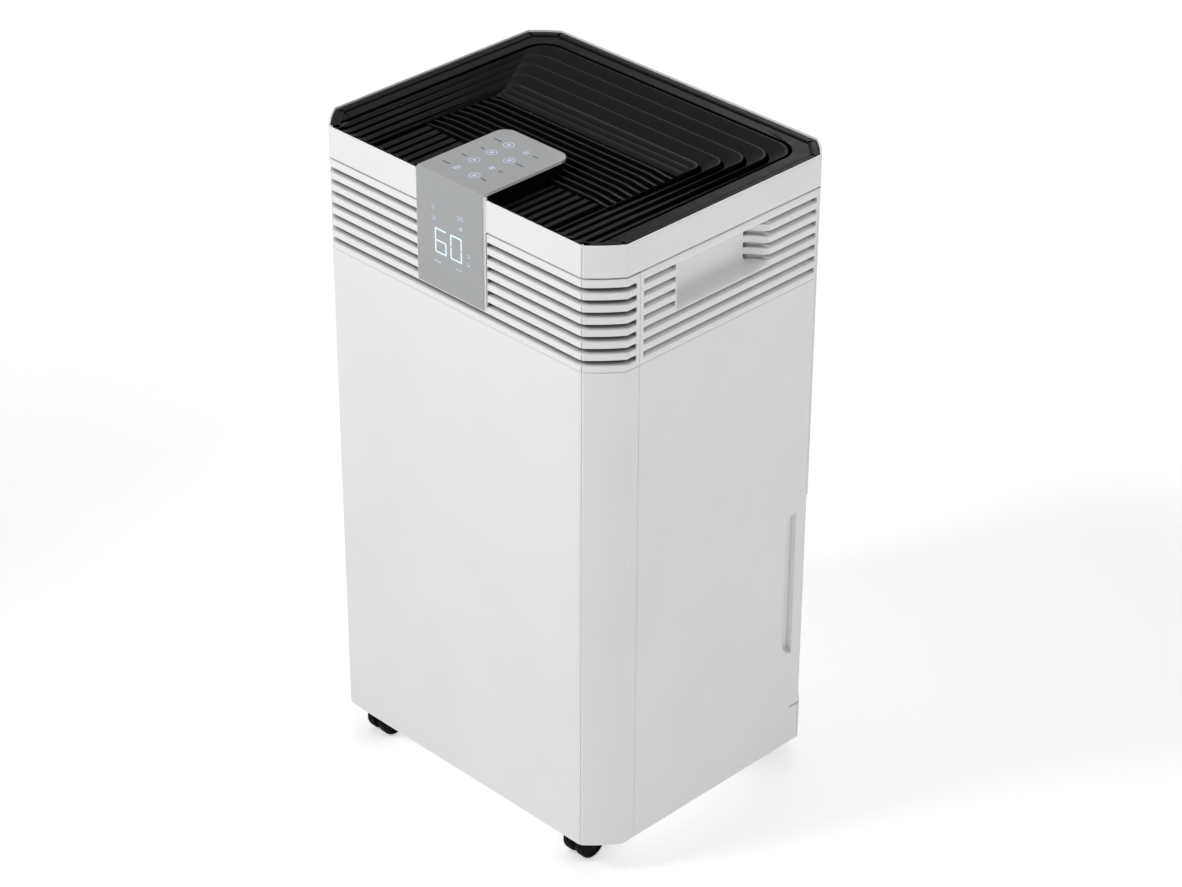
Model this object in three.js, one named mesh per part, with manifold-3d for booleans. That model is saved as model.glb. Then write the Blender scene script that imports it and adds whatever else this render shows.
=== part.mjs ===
// A portable compressor dehumidifier: a white casing on four swivel casters, with a black outlet
// grille on top, a grey touch panel folded over its front edge, louvres round the upper casing,
// a hand pocket in each side, an air filter behind a grille that tilts out of the back, and a water
// tank that pulls out at the back below it.
//
// Millimetres, +Z up, the front faces -Y. The origin is on the floor under the middle of the body.
// Inside the casing group, z is counted from the casing's bottom edge.

import * as THREE from "three";
import { mergeVertices } from "three/addons/utils/BufferGeometryUtils.js";
import Module from "manifold-3d";

const wasm = await Module();
wasm.setup();

// ---------------------------------------------------------------- driving dimensions

const BODY_WIDTH = 370;
const BODY_DEPTH = 292;
const BODY_TOP = 621.8; // height of the black rim above the casing's bottom edge
const CASTER_HEIGHT = 33.3; // floor to the casing's bottom edge
const WALL = 2.6; // casing wall
const GAP = 0.3; // clearance between pieces that touch
const FRONT_CHAMFER = [25.8, 29]; // legs along X and along Y
const BACK_CHAMFER = [24.5, 22.5];
const CHAMFER_BOW = 1.2; // how far a chamfer bulges past its chord

const HALF_WIDTH = BODY_WIDTH / 2;
const HALF_DEPTH = BODY_DEPTH / 2;

const FRONT_SEAM_Y = -101.6; // front shell meets side panel
const BACK_SEAM_Y = 121.2; // side panel meets back cover, at the chamfer's edge
const BELT_BOTTOM = 502.5; // louvred belt above, plain panels below
const BELT_TOP = 592.5; // seam under the top frame
const BELT_GROOVE = 1.6; // height of the shadow groove in that seam
const FRAME_TOP = 623.5; // white rim round the black grille

const SLOT_COUNT = 7;
const SLOT_TOP = 585; // top edge of the highest slot
const SLOT_PITCH = 11.65;
const SLOT_HEIGHT = 5.5;

const POCKET_Y = [-57, 60]; // hand pocket in the side
const POCKET_Z = [543, SLOT_TOP];
const POCKET_DEPTH = 18;
const POCKET_SLOTS = 4; // slots that the pocket interrupts

const PANEL_HALF_WIDTH = 42; // touch panel
const PANEL_BOTTOM = 517;
const PANEL_TOP = 628.2;
const PANEL_PROUD = 2.6; // stands in front of the casing
const PANEL_BACK = -40.8;
const PANEL_THICKNESS = 2.4;

const DECK_TOP = 39.9; // shelf in the base that the tank stands on
const SHELF_Z = 276; // underside of the shelf over the tank and the compressor
const TANK_SEAM_Y = 110;
const TANK_BOTTOM = DECK_TOP + 0.7;
const TANK_RIM = 205; // height of the tank's deck
const TANK_TOP = 273.8; // top edge of the tank's outer face
const TANK_FRONT = 6;
const MOUTH_HALF_WIDTH = 156; // filling opening in the tank's deck, under the lid
const MOUTH_Y = [10, 113];

const FAN_AXIS_Z = 430;
const FAN_RADIUS = 90;

const CASTER_X = 137;
const CASTER_FRONT_Y = -119; // wheel axles
const CASTER_BACK_Y = 117;
const CASTER_TRAIL = 12; // swivel axis to wheel axle
const WHEEL_RADIUS = 15.2;

// ---------------------------------------------------------------- materials

function paint(color, roughness, metalness = 0) {
  return new THREE.MeshStandardMaterial({ color, roughness, metalness });
}

const white = paint(0xeeeeee, 0.5);
const innerWhite = paint(0xd9dadb, 0.6);
const black = paint(0x17171a, 0.35);
const grey = paint(0xa6a7a9, 0.35, 0.3);
const rubber = paint(0x202020, 0.8);
const boardGreen = paint(0x1d5a3a, 0.6);
const copper = paint(0xb9714a, 0.35, 0.9);
const finMetal = paint(0xc8cacd, 0.4, 0.9);
const steel = paint(0x9fa3a8, 0.4, 0.9);
const darkSteel = paint(0x222427, 0.5, 0.4);
const clear = paint(0xbfd4dc, 0.1);

// ---------------------------------------------------------------- solids

const AXES = {
  x: [new THREE.Vector3(0, 1, 0), new THREE.Vector3(0, 0, 1), new THREE.Vector3(1, 0, 0)],
  y: [new THREE.Vector3(1, 0, 0), new THREE.Vector3(0, 0, 1), new THREE.Vector3(0, -1, 0)],
  z: [new THREE.Vector3(1, 0, 0), new THREE.Vector3(0, 1, 0), new THREE.Vector3(0, 0, 1)],
};

function solidFrom(geometry) {
  geometry.deleteAttribute("normal");
  geometry.deleteAttribute("uv");
  const merged = mergeVertices(geometry, 1e-4);
  return new wasm.Manifold(
    new wasm.Mesh({
      numProp: 3,
      vertProperties: new Float32Array(merged.attributes.position.array),
      triVerts: new Uint32Array(merged.index.array),
    }),
  );
}

function geometryFrom(solid) {
  const { vertProperties, triVerts } = solid.getMesh();
  const geometry = new THREE.BufferGeometry();
  geometry.setAttribute("position", new THREE.BufferAttribute(new Float32Array(vertProperties), 3));
  geometry.setIndex(new THREE.BufferAttribute(new Uint32Array(triVerts), 1));
  geometry.computeVertexNormals();
  return geometry;
}

// The same solid on the other side of the plane x = 0.
function mirroredX(solid) {
  const { vertProperties, triVerts } = solid.getMesh();
  const positions = Float32Array.from(vertProperties, (value, i) => (i % 3 === 0 ? -value : value));
  const triangles = Uint32Array.from(triVerts);
  for (let i = 0; i < triangles.length; i += 3) {
    [triangles[i], triangles[i + 1]] = [triangles[i + 1], triangles[i]];
  }
  return new wasm.Manifold(
    new wasm.Mesh({ numProp: 3, vertProperties: positions, triVerts: triangles }),
  );
}

function box([x0, x1], [y0, y1], [z0, z1]) {
  const geometry = new THREE.BoxGeometry(x1 - x0, y1 - y0, z1 - z0);
  geometry.translate((x0 + x1) / 2, (y0 + y1) / 2, (z0 + z1) / 2);
  return solidFrom(geometry);
}

// An outline pushed along an axis. Its points are (y, z) for x, (x, z) for y and (x, y) for z.
function extrude(outline, axis, from, to) {
  const shape = new THREE.Shape(outline.map(([u, v]) => new THREE.Vector2(u, v)));
  const geometry = new THREE.ExtrudeGeometry(shape, {
    depth: to - from,
    bevelEnabled: false,
    steps: 1,
  });
  geometry.translate(0, 0, axis === "y" ? -to : from);
  geometry.applyMatrix4(new THREE.Matrix4().makeBasis(...AXES[axis]));
  return solidFrom(geometry);
}

function circle(centreU, centreV, radius, sides) {
  const points = [];
  for (let i = 0; i < sides; i += 1) {
    const angle = (2 * Math.PI * (i + 0.5)) / sides;
    points.push([centreU + radius * Math.cos(angle), centreV + radius * Math.sin(angle)]);
  }
  return points;
}

function cylinder(axis, [centreU, centreV], radius, from, to, sides = 16) {
  return extrude(circle(centreU, centreV, radius, sides), axis, from, to);
}

// A turned solid. The profile is (radius, height) points from the axis round to the axis.
function turned(profile, [x, y], sides = 20) {
  const geometry = new THREE.LatheGeometry(
    profile.map(([radius, height]) => new THREE.Vector2(radius, height)),
    sides,
  );
  geometry.rotateX(Math.PI / 2);
  geometry.translate(x, y, 0);
  return solidFrom(geometry);
}

// A round bar along a smooth curve through the points.
function pipe(points, radius, steps, sides = 6) {
  const route = new THREE.CatmullRomCurve3(points.map((p) => new THREE.Vector3(...p)));
  const section = circle(0, 0, radius, sides).map(([u, v]) => new THREE.Vector2(u, v));
  const geometry = new THREE.ExtrudeGeometry(new THREE.Shape(section), {
    steps,
    extrudePath: route,
    bevelEnabled: false,
  });
  return solidFrom(geometry);
}

function joined(solids) {
  return solids.reduce((sum, solid) => sum.add(solid));
}

// ---------------------------------------------------------------- outlines

function insetPolygon(points, inset) {
  return points.map((point, i) => {
    const before = points[(i + points.length - 1) % points.length];
    const after = points[(i + 1) % points.length];
    const a = new THREE.Vector2(point[0] - before[0], point[1] - before[1]).normalize();
    const b = new THREE.Vector2(after[0] - point[0], after[1] - point[1]).normalize();
    const inward = new THREE.Vector2(-a.y - b.y, a.x + b.x).normalize();
    const reach = inset / (inward.x * -a.y + inward.y * a.x);
    return [point[0] + inward.x * reach, point[1] + inward.y * reach];
  });
}

// A chamfer from start to end as two straight lengths that bow out a little.
function chamfer(start, end) {
  const along = [end[0] - start[0], end[1] - start[1]];
  const length = Math.hypot(...along);
  const out = [along[1] / length, -along[0] / length];
  return [0, 1 / 2, 1].map((t) => {
    const bow = CHAMFER_BOW * 4 * t * (1 - t);
    return [start[0] + along[0] * t + out[0] * bow, start[1] + along[1] * t + out[1] * bow];
  });
}

// The casing's outline seen from above, counter-clockwise, moved inward by inset.
function bodyOutline(inset = 0) {
  const [frontX, frontY] = FRONT_CHAMFER;
  const [backX, backY] = BACK_CHAMFER;
  const corners = [
    ...chamfer([HALF_WIDTH - frontX, -HALF_DEPTH], [HALF_WIDTH, -HALF_DEPTH + frontY]),
    ...chamfer([HALF_WIDTH, HALF_DEPTH - backY], [HALF_WIDTH - backX, HALF_DEPTH]),
    ...chamfer([-HALF_WIDTH + backX, HALF_DEPTH], [-HALF_WIDTH, HALF_DEPTH - backY]),
    ...chamfer([-HALF_WIDTH, -HALF_DEPTH + frontY], [-HALF_WIDTH + frontX, -HALF_DEPTH]),
  ];
  return insetPolygon(corners, inset);
}

// A wall that follows the casing's outline, between two insets and two heights.
function band(outerInset, innerInset, z0, z1) {
  const outer = extrude(bodyOutline(outerInset), "z", z0, z1);
  return outer.subtract(extrude(bodyOutline(innerInset), "z", z0 - 1, z1 + 1));
}

// Everything with y in the given span.
function slab(y0, y1, z0 = -50, z1 = 700) {
  return box([-200, 200], [y0, y1], [z0, z1]);
}

// A U-shaped field seen from above: straight sides, two round back corners, open to the front.
function uField(halfWidth, back, radius, front) {
  const points = [[halfWidth, front]];
  const steps = 2;
  for (let i = 0; i <= steps; i += 1) {
    const angle = (Math.PI / 2) * (i / steps);
    const x = halfWidth - radius + radius * Math.cos(angle);
    points.push([x, back - radius + radius * Math.sin(angle)]);
  }
  const left = points.map(([x, y]) => [-x, y]).reverse();
  return [...points, ...left];
}

function slotZ(index) {
  const top = SLOT_TOP - index * SLOT_PITCH;
  return [top - SLOT_HEIGHT, top];
}

// ---------------------------------------------------------------- assembly

const dehumidifier = new THREE.Group();
const casing = new THREE.Group();
casing.position.z = CASTER_HEIGHT;
dehumidifier.add(casing);

function addPiece(name, solid, material) {
  const mesh = new THREE.Mesh(geometryFrom(solid), material.clone());
  mesh.name = name;
  casing.add(mesh);
}

function addPair(name, rightSolid, material) {
  addPiece(`${name}_right`, rightSolid, material);
  addPiece(`${name}_left`, mirroredX(rightSolid), material);
}

// ---------------------------------------------------------------- casing shells

const SOCKET_RADIUS = 10;
const CASTERS = [
  ["front_right", CASTER_X, CASTER_FRONT_Y, 1],
  ["front_left", -CASTER_X, CASTER_FRONT_Y, 1],
  ["back_right", CASTER_X, CASTER_BACK_Y, -1],
  ["back_left", -CASTER_X, CASTER_BACK_Y, -1],
];

// Floor of the machine, with a raised deck for the tank and a skirt round the back.
function baseTray() {
  const floor = extrude(bodyOutline(WALL + GAP), "z", 0, 4);
  const behindPanels = slab(BACK_SEAM_Y + GAP, 200);
  const backFloor = extrude(bodyOutline(0), "z", 0, 4).intersect(behindPanels);
  const skirt = band(0, WALL, 0, DECK_TOP).intersect(behindPanels);
  const deck = extrude(bodyOutline(WALL + GAP), "z", DECK_TOP - 3, DECK_TOP).intersect(slab(3, 200));
  const deckFront = box([-178, 178], [3, 6], [2, DECK_TOP - 1]);
  const deckRibs = [-90, 0, 90].map((x) => box([x - 1.5, x + 1.5], [4, 144], [2, DECK_TOP - 1]));
  let tray = joined([floor, backFloor, skirt, deck, deckFront, ...deckRibs]);
  for (const [, x, y, trail] of CASTERS) {
    const centre = [x, y + trail * CASTER_TRAIL];
    tray = tray.subtract(cylinder("z", centre, SOCKET_RADIUS + GAP, -1, 5, 12));
  }
  return tray;
}

function frontPanel() {
  const wall = band(0, WALL, 0, BELT_BOTTOM - GAP);
  const lip = band(WALL - 0.5, WALL + 2, 490, BELT_BOTTOM - GAP);
  return wall.add(lip).intersect(slab(-200, FRONT_SEAM_Y - GAP / 2));
}

function frontLouvres() {
  const edge = FRONT_SEAM_Y - GAP / 2;
  let belt = band(0, WALL, BELT_BOTTOM + GAP, BELT_TOP - BELT_GROOVE / 2).intersect(slab(-200, edge));
  const slotInner = PANEL_HALF_WIDTH + 3.5;
  for (let i = 0; i < SLOT_COUNT; i += 1) {
    const underPanel = i === SLOT_COUNT - 1;
    const right = box([underPanel ? -1 : slotInner, 200], [-200, -106], slotZ(i));
    belt = belt.subtract(right).subtract(mirroredX(right));
  }
  const opening = PANEL_HALF_WIDTH + 1.3 + GAP;
  return belt.subtract(box([-opening, opening], [-200, -130], [PANEL_BOTTOM - GAP, 700]));
}

const SCOOP_Y = [95, TANK_SEAM_Y];
const SCOOP_Z = [105, 264];

// The finger scoop beside the tank's edge: steep at the front, deepest against the tank.
function scoopVolume(grow) {
  const [y0, y1] = [SCOOP_Y[0] - grow, SCOOP_Y[1] + 0.5];
  const depth = 7 + grow;
  const section = [
    [HALF_WIDTH + 1, y0],
    [HALF_WIDTH + 1, y1],
    [HALF_WIDTH - depth, y1],
    [HALF_WIDTH - depth, y0 + 11],
    [HALF_WIDTH - depth * 0.86, y0 + 6.5],
    [HALF_WIDTH - depth * 0.5, y0 + 2.5],
    [HALF_WIDTH, y0],
  ];
  const [z0, z1] = [SCOOP_Z[0] - grow, SCOOP_Z[1] + grow];
  const radius = y1 - y0 - 1;
  const face = [[y1, z0]];
  face.push([y1, z1]);
  for (let i = 0; i <= 3; i += 1) {
    const angle = Math.PI / 2 + (Math.PI / 2) * (i / 3);
    face.push([y0 + radius + radius * Math.cos(angle), z1 - radius + radius * Math.sin(angle)]);
  }
  for (let i = 0; i <= 3; i += 1) {
    const angle = Math.PI + (Math.PI / 2) * (i / 3);
    face.push([y0 + radius + radius * Math.cos(angle), z0 + radius + radius * Math.sin(angle)]);
  }
  return extrude(section, "z", z0, z1).intersect(extrude(face, "x", 100, 200));
}

function sideSpan() {
  return box([0, 200], [FRONT_SEAM_Y + GAP / 2, BACK_SEAM_Y], [-50, 700]);
}

function sidePanel() {
  const wall = band(0, WALL, 0, BELT_BOTTOM - GAP).intersect(sideSpan());
  const lip = band(WALL - 0.5, WALL + 2, 490, BELT_BOTTOM - GAP).intersect(
    box([0, 200], [-90, 90], [-50, 700]),
  );
  const tankCutY = TANK_SEAM_Y - GAP;
  const tankCut = box([0, 200], [tankCutY, 200], [DECK_TOP + GAP, TANK_TOP + 0.5]);
  const scoopBack = scoopVolume(2).intersect(box([0, HALF_WIDTH - 1], [0, tankCutY], [0, 500]));
  return wall.add(lip).add(scoopBack).subtract(scoopVolume(0)).subtract(tankCut);
}

function sideLouvres() {
  const z1 = BELT_TOP - BELT_GROOVE / 2;
  let belt = band(0, WALL, BELT_BOTTOM + GAP, z1).intersect(sideSpan());
  for (let i = 0; i < SLOT_COUNT; i += 1) {
    if (i < POCKET_SLOTS) {
      belt = belt.subtract(box([100, 200], [-97.4, POCKET_Y[0] - 1.5], slotZ(i)));
      belt = belt.subtract(box([100, 200], [POCKET_Y[1] + 2, 119], slotZ(i)));
    } else {
      belt = belt.subtract(box([100, 200], [-97.4, 119], slotZ(i)));
    }
  }
  return belt.subtract(box([100, 200], POCKET_Y, POCKET_Z));
}

function handleCup() {
  const back = HALF_WIDTH - POCKET_DEPTH;
  const front = HALF_WIDTH - WALL - GAP;
  const grow = ([a, b], by) => [a - by, b + by];
  const shell = box([back - 2, front], grow(POCKET_Y, 2), grow(POCKET_Z, 2));
  const flange = box([front - 1.6, front], grow(POCKET_Y, 5), [POCKET_Z[0] - 5, POCKET_Z[1] + 5]);
  return shell.add(flange).subtract(box([back, 200], POCKET_Y, POCKET_Z));
}

const INTAKE_HALF_WIDTH = 150;
const INTAKE_Z = [312, 572];
const PORT_Z = 298; // centre of the drain port and of the cord gland
const PORT_X = 120;
const DRAIN_PLUG_RADIUS = 7;
const DRAIN_HEAD_RADIUS = 9;

// The intake's frame, with the drain port's boss and the hole for the cord gland under it.
function backCover() {
  const bottom = TANK_TOP + 0.7;
  const wall = band(0, WALL, bottom, BELT_TOP - BELT_GROOVE / 2);
  const lip = band(WALL - 0.5, WALL + 2, 281, 286);
  const window = box([-INTAKE_HALF_WIDTH, INTAKE_HALF_WIDTH], [120, 200], INTAKE_Z);
  return wall
    .add(lip)
    .intersect(slab(BACK_SEAM_Y + GAP, 200))
    .subtract(window)
    .add(cylinder("y", [-PORT_X, PORT_Z], 10.5, 124, 145, 16))
    .subtract(cylinder("y", [-PORT_X, PORT_Z], DRAIN_PLUG_RADIUS + GAP, 120, 200, 16))
    .subtract(cylinder("y", [-PORT_X, PORT_Z], DRAIN_HEAD_RADIUS + GAP, 143, 200, 16))
    .subtract(cylinder("y", [PORT_X, PORT_Z], 8 + GAP, 120, 200, 12));
}

// White frame round the top. Its ledge carries the grille; a skirt hangs inside the belt.
function topFrame() {
  const bottom = BELT_TOP + BELT_GROOVE / 2;
  const wall = band(0, 1.5, bottom, FRAME_TOP);
  const foot = band(0, WALL + 2.3, bottom, bottom + 3);
  const skirt = band(WALL + GAP, WALL + 2.3, bottom - 6, bottom + 1);
  const ledge = band(0, 3.2, BODY_TOP - 9.5, BODY_TOP - 6.8);
  const opening = PANEL_HALF_WIDTH + 1.3 + GAP;
  const pocketCut = (x0, x1) => box([x0, x1], [-70, 75], [0, bottom - 0.5]);
  return joined([wall, foot, skirt, ledge])
    .subtract(box([-opening, opening], [-200, -100], [500, 700]))
    .subtract(pocketCut(150, 200))
    .subtract(pocketCut(-200, -150));
}

// ---------------------------------------------------------------- top grille

const BLADE_COUNT = 5;
const BLADE_PITCH_X = 10.4;
const BLADE_PITCH_Y = 19.5;
const BLADE_WIDTH_X = 6.9;
const BLADE_WIDTH_Y = 16;
const BLADE_CREST_X = 159.4; // outer edge of the outermost blade
const BLADE_CREST_Y = 121.6;
const FIELD_FRONT = -141.5;
const FIELD_BOTTOM = 613;
const SLAT_FIELD_X = 114.6;
const SLAT_FIELD_Y = [-74, 17];

// One U-shaped blade of the dished field; the blades step down towards the middle.
function outletBlade(index) {
  const crestX = BLADE_CREST_X - index * BLADE_PITCH_X;
  const crestY = BLADE_CREST_Y - index * BLADE_PITCH_Y;
  const radius = 22 - index * 3;
  const last = index === BLADE_COUNT - 1;
  const innerX = last ? SLAT_FIELD_X : crestX - BLADE_WIDTH_X;
  const innerY = last ? SLAT_FIELD_Y[1] : crestY - BLADE_WIDTH_Y;
  const top = 620.2 - 0.57 * index;
  const outer = extrude(uField(crestX, crestY, radius, FIELD_FRONT), "z", FIELD_BOTTOM, top);
  const inner = uField(innerX, innerY, last ? 1 : radius - 4, FIELD_FRONT - 5);
  return outer.subtract(extrude(inner, "z", 600, 640));
}

function topGrille() {
  const field = extrude(bodyOutline(10.5), "z", 600, 640).add(
    box([-150, 150], [FIELD_FRONT, -130], [600, 640]),
  );
  const rim = extrude(bodyOutline(1.8), "z", BODY_TOP - 6.5, BODY_TOP).subtract(field);
  const tier = extrude(bodyOutline(10), "z", FIELD_BOTTOM, BODY_TOP - 1).subtract(
    extrude(uField(162.8, 125, 24, FIELD_FRONT - 20), "z", 600, 640),
  );
  const frontBlades = [];
  for (let i = 1; i <= 6; i += 1) {
    const crest = BLADE_CREST_X - (BLADE_COUNT - 1 + i) * BLADE_PITCH_X;
    const span = [crest - BLADE_WIDTH_X, crest];
    const blade = box(span, [FIELD_FRONT - 1, SLAT_FIELD_Y[0]], [FIELD_BOTTOM, 618]);
    frontBlades.push(blade, mirroredX(blade));
  }
  const slats = [];
  for (let i = 0; i < 9; i += 1) {
    const y = -68.4 + 9.6 * i;
    slats.push(box([-115, 115], [y - 1.25, y + 1.25], [612, 618]));
  }
  const ribs = [-69, 69].map((x) => box([x - 1.2, x + 1.2], [-75, 137], [606, 613.5]));
  const blades = [];
  for (let i = 0; i < BLADE_COUNT; i += 1) {
    blades.push(outletBlade(i));
  }
  const insideRim = extrude(bodyOutline(9), "z", 600, 640).add(
    box([-150, 150], [FIELD_FRONT - 1, -130], [600, 640]),
  );
  const details = joined([tier, ...blades, ...frontBlades, ...slats, ...ribs]).intersect(insideRim);
  const panelSeat = box([-43.9, 43.9], [-200, PANEL_BACK + 0.4], [600, 640]).add(
    box([-50.3, 50.3], [-140, -49], [600, 640]),
  );
  return rim.add(details).subtract(panelSeat);
}

// ---------------------------------------------------------------- touch panel

function roundedBack(halfWidth, back, radius) {
  return uField(halfWidth, back, radius, -200);
}

// The grey cover: a plate that comes over the top and folds down the front.
function controlPanel() {
  const front = -HALF_DEPTH - PANEL_PROUD;
  const fold = 4;
  const profile = [
    [front, PANEL_BOTTOM],
    [front + PANEL_THICKNESS, PANEL_BOTTOM],
    [front + PANEL_THICKNESS, PANEL_TOP - PANEL_THICKNESS],
    [-20, PANEL_TOP - PANEL_THICKNESS],
    [-20, PANEL_TOP],
    [front + fold, PANEL_TOP],
    [front + fold * 0.3, PANEL_TOP - fold * 0.3],
    [front, PANEL_TOP - fold],
  ];
  const bent = extrude(profile, "x", -PANEL_HALF_WIDTH, PANEL_HALF_WIDTH);
  const plan = extrude(roundedBack(PANEL_HALF_WIDTH, PANEL_BACK, 13), "z", 500, 640);
  return bent.intersect(plan);
}

// White carrier under the cover, hollow for the two boards.
function panelCarrier() {
  const front = -HALF_DEPTH;
  const halfWidth = PANEL_HALF_WIDTH + 1.3;
  const top = PANEL_TOP - PANEL_THICKNESS - GAP;
  const profile = [
    [front, PANEL_BOTTOM],
    [front + 16, PANEL_BOTTOM],
    [front + 16, 606],
    [PANEL_BACK, 606],
    [PANEL_BACK, top],
    [front, top],
  ];
  const plan = extrude(roundedBack(halfWidth, PANEL_BACK - 0.2, 13), "z", 500, 640);
  const body = extrude(profile, "x", -halfWidth, halfWidth).intersect(plan);
  const hollowProfile = [
    [front + 1.6, PANEL_BOTTOM + 4],
    [front + 30, PANEL_BOTTOM + 4],
    [front + 30, 600],
    [-60, 600],
    [-60, top + 1],
    [front + 1.6, top + 1],
  ];
  const hollow = extrude(hollowProfile, "x", -39.5, 39.5);
  const window = box([-30, 30], [-160, front + 5], [545, 600]);
  return body.subtract(hollow).subtract(window);
}

function displayBoard() {
  const board = box([-38, 38], [-141, -139.4], [528, 604]);
  const module = box([-29, 29], [-145.6, -140.5], [547, 598]);
  const plug = box([-8, 8], [-139.9, -133], [532, 540]);
  return joined([board, module, plug]);
}

function touchBoard() {
  const board = box([-38, 38], [-132, -62], [620, 621.6]);
  const pads = [];
  for (let row = 0; row < 4; row += 1) {
    for (const x of [-12, 12]) {
      pads.push(cylinder("z", [x, -118 + row * 16], 5.5, 621, 624.6, 8));
    }
  }
  return joined([board, ...pads]);
}

// ---------------------------------------------------------------- air intake at the back

const INTAKE_FACE_Y = HALF_DEPTH + PANEL_PROUD;

// Vertical mullions behind and horizontal bars in front, in a flat frame.
function intakeGrille() {
  const half = INTAKE_HALF_WIDTH - 0.5;
  const [z0, z1] = [INTAKE_Z[0] + 0.5, INTAKE_Z[1] - 0.5];
  let grille = box([-half, half], [143.4, INTAKE_FACE_Y], [z0, z1]);
  const lip = box([-half + 4, half - 4], [139, 144], [z0 + 4, z1 - 4]);
  grille = grille.add(lip.subtract(box([-half + 6, half - 6], [130, 150], [z0 + 6, z1 - 6])));
  const count = 16;
  const pitch = (z1 - z0 - 16) / count;
  for (let i = 0; i < count; i += 1) {
    const low = z0 + 8 + pitch * i + 2;
    grille = grille.subtract(box([-half + 9, half - 9], [130, 160], [low, low + pitch - 4]));
  }
  return grille.add(box([-2, 2], [140, 144.5], [z0 + 5, z1 - 5]));
}

function airFilter() {
  const half = INTAKE_HALF_WIDTH - 7;
  const [z0, z1] = [INTAKE_Z[0] + 7, INTAKE_Z[1] - 7];
  const frame = box([-half, half], [132.5, 138.7], [z0, z1]);
  const front = box([-half + 7, half - 7], [130, 135], [z0 + 7, z1 - 7]);
  const back = box([-half + 7, half - 7], [136.2, 142], [z0 + 7, z1 - 7]);
  const bars = [-70, 0, 70].map((x) => box([x - 1.5, x + 1.5], [133, 138], [z0 + 3, z1 - 3]));
  return joined([frame.subtract(front).subtract(back), ...bars]);
}

function drainCap() {
  const plug = cylinder("y", [-PORT_X, PORT_Z], DRAIN_PLUG_RADIUS, 136, 145, 12);
  const head = cylinder("y", [-PORT_X, PORT_Z], DRAIN_HEAD_RADIUS, 143.6, 146.4, 16);
  const tab = box([-PORT_X - 2, -PORT_X + 2], [146, INTAKE_FACE_Y], [PORT_Z - 7, PORT_Z + 7]);
  return joined([plug, head, tab]);
}

function cordGland() {
  const neck = cylinder("y", [PORT_X, PORT_Z], 8, 138, 147, 12);
  const flange = cylinder("y", [PORT_X, PORT_Z], 11, 146.3, INTAKE_FACE_Y, 16);
  const nut = cylinder("y", [PORT_X, PORT_Z], 11, 139, 143, 6);
  return joined([neck, flange, nut]).subtract(cylinder("y", [PORT_X, PORT_Z], 4, 130, 160, 12));
}

// ---------------------------------------------------------------- water tank

const TANK_HALF_WIDTH = 174.5;
const TANK_WALL = 2.4;
const TANK_FLOOR = 1.8;
const COVER_INSET = 1; // the tank's outer cover lies a little inside the casing's outline
const HANDLE_PIVOT = [71, 212.5]; // y and z
const HANDLE_ARM = 52;
const FLOAT_PIVOT = [15, 186];
const FLOAT_X = [-146, -110];

// The container's outline, clear of its outer cover, moved inward by inset.
function tankPlan(inset, z0, z1) {
  const half = TANK_HALF_WIDTH - inset;
  const insideCover = extrude(bodyOutline(COVER_INSET + TANK_WALL + GAP + inset), "z", z0, z1);
  return insideCover.intersect(box([-half, half], [TANK_FRONT + inset, 200], [z0, z1]));
}

// The window's place in the tank's outer face, widened by grow.
function levelWindowBox(grow, y = [130, 150]) {
  const [half, low, high] = [7 + grow, 72 - grow, 182 + grow];
  return box([-half, half], y, [low, high]);
}

function waterTank() {
  const outside = tankPlan(0, TANK_BOTTOM, TANK_RIM);
  const inside = tankPlan(TANK_WALL, TANK_BOTTOM + TANK_FLOOR, TANK_RIM - TANK_WALL);
  const mouth = box([-MOUTH_HALF_WIDTH, MOUTH_HALF_WIDTH], MOUTH_Y, [150, 220]);
  let tank = outside.subtract(inside).subtract(mouth);
  const [pivotY, pivotZ] = HANDLE_PIVOT;
  const lug = box([161.6, 165.6], [pivotY - 6, pivotY + 6], [TANK_RIM - 1, pivotZ + 6]).add(
    cylinder("x", HANDLE_PIVOT, 2.5, 165, 172.5, 12),
  );
  tank = tank.add(lug).add(mirroredX(lug));
  const [floatY, floatZ] = FLOAT_PIVOT;
  for (const x of [FLOAT_X[0] + 8, FLOAT_X[1] - 8]) {
    const ear = box([x - 1.5, x + 1.5], [TANK_FRONT + 1, floatY + 5], [floatZ - 6, floatZ + 6]);
    tank = tank.add(ear.subtract(cylinder("x", FLOAT_PIVOT, 2.8, -200, 200, 12)));
  }
  return tank;
}

// The outer face that closes the tank's bay. Its side edges turn in, for fingers to pull on.
function tankCover() {
  const face = band(COVER_INSET, COVER_INSET + TANK_WALL, TANK_BOTTOM, TANK_TOP);
  const edge = box(
    [TANK_HALF_WIDTH + GAP, HALF_WIDTH - COVER_INSET - 1],
    [TANK_SEAM_Y, TANK_SEAM_Y + TANK_WALL],
    [TANK_BOTTOM, TANK_TOP],
  );
  return joined([face.intersect(slab(TANK_SEAM_Y, 200)), edge, mirroredX(edge)]).subtract(
    levelWindowBox(GAP),
  );
}

function levelWindow() {
  const outer = HALF_DEPTH - COVER_INSET;
  return levelWindowBox(0, [outer - TANK_WALL, outer]);
}

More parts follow.
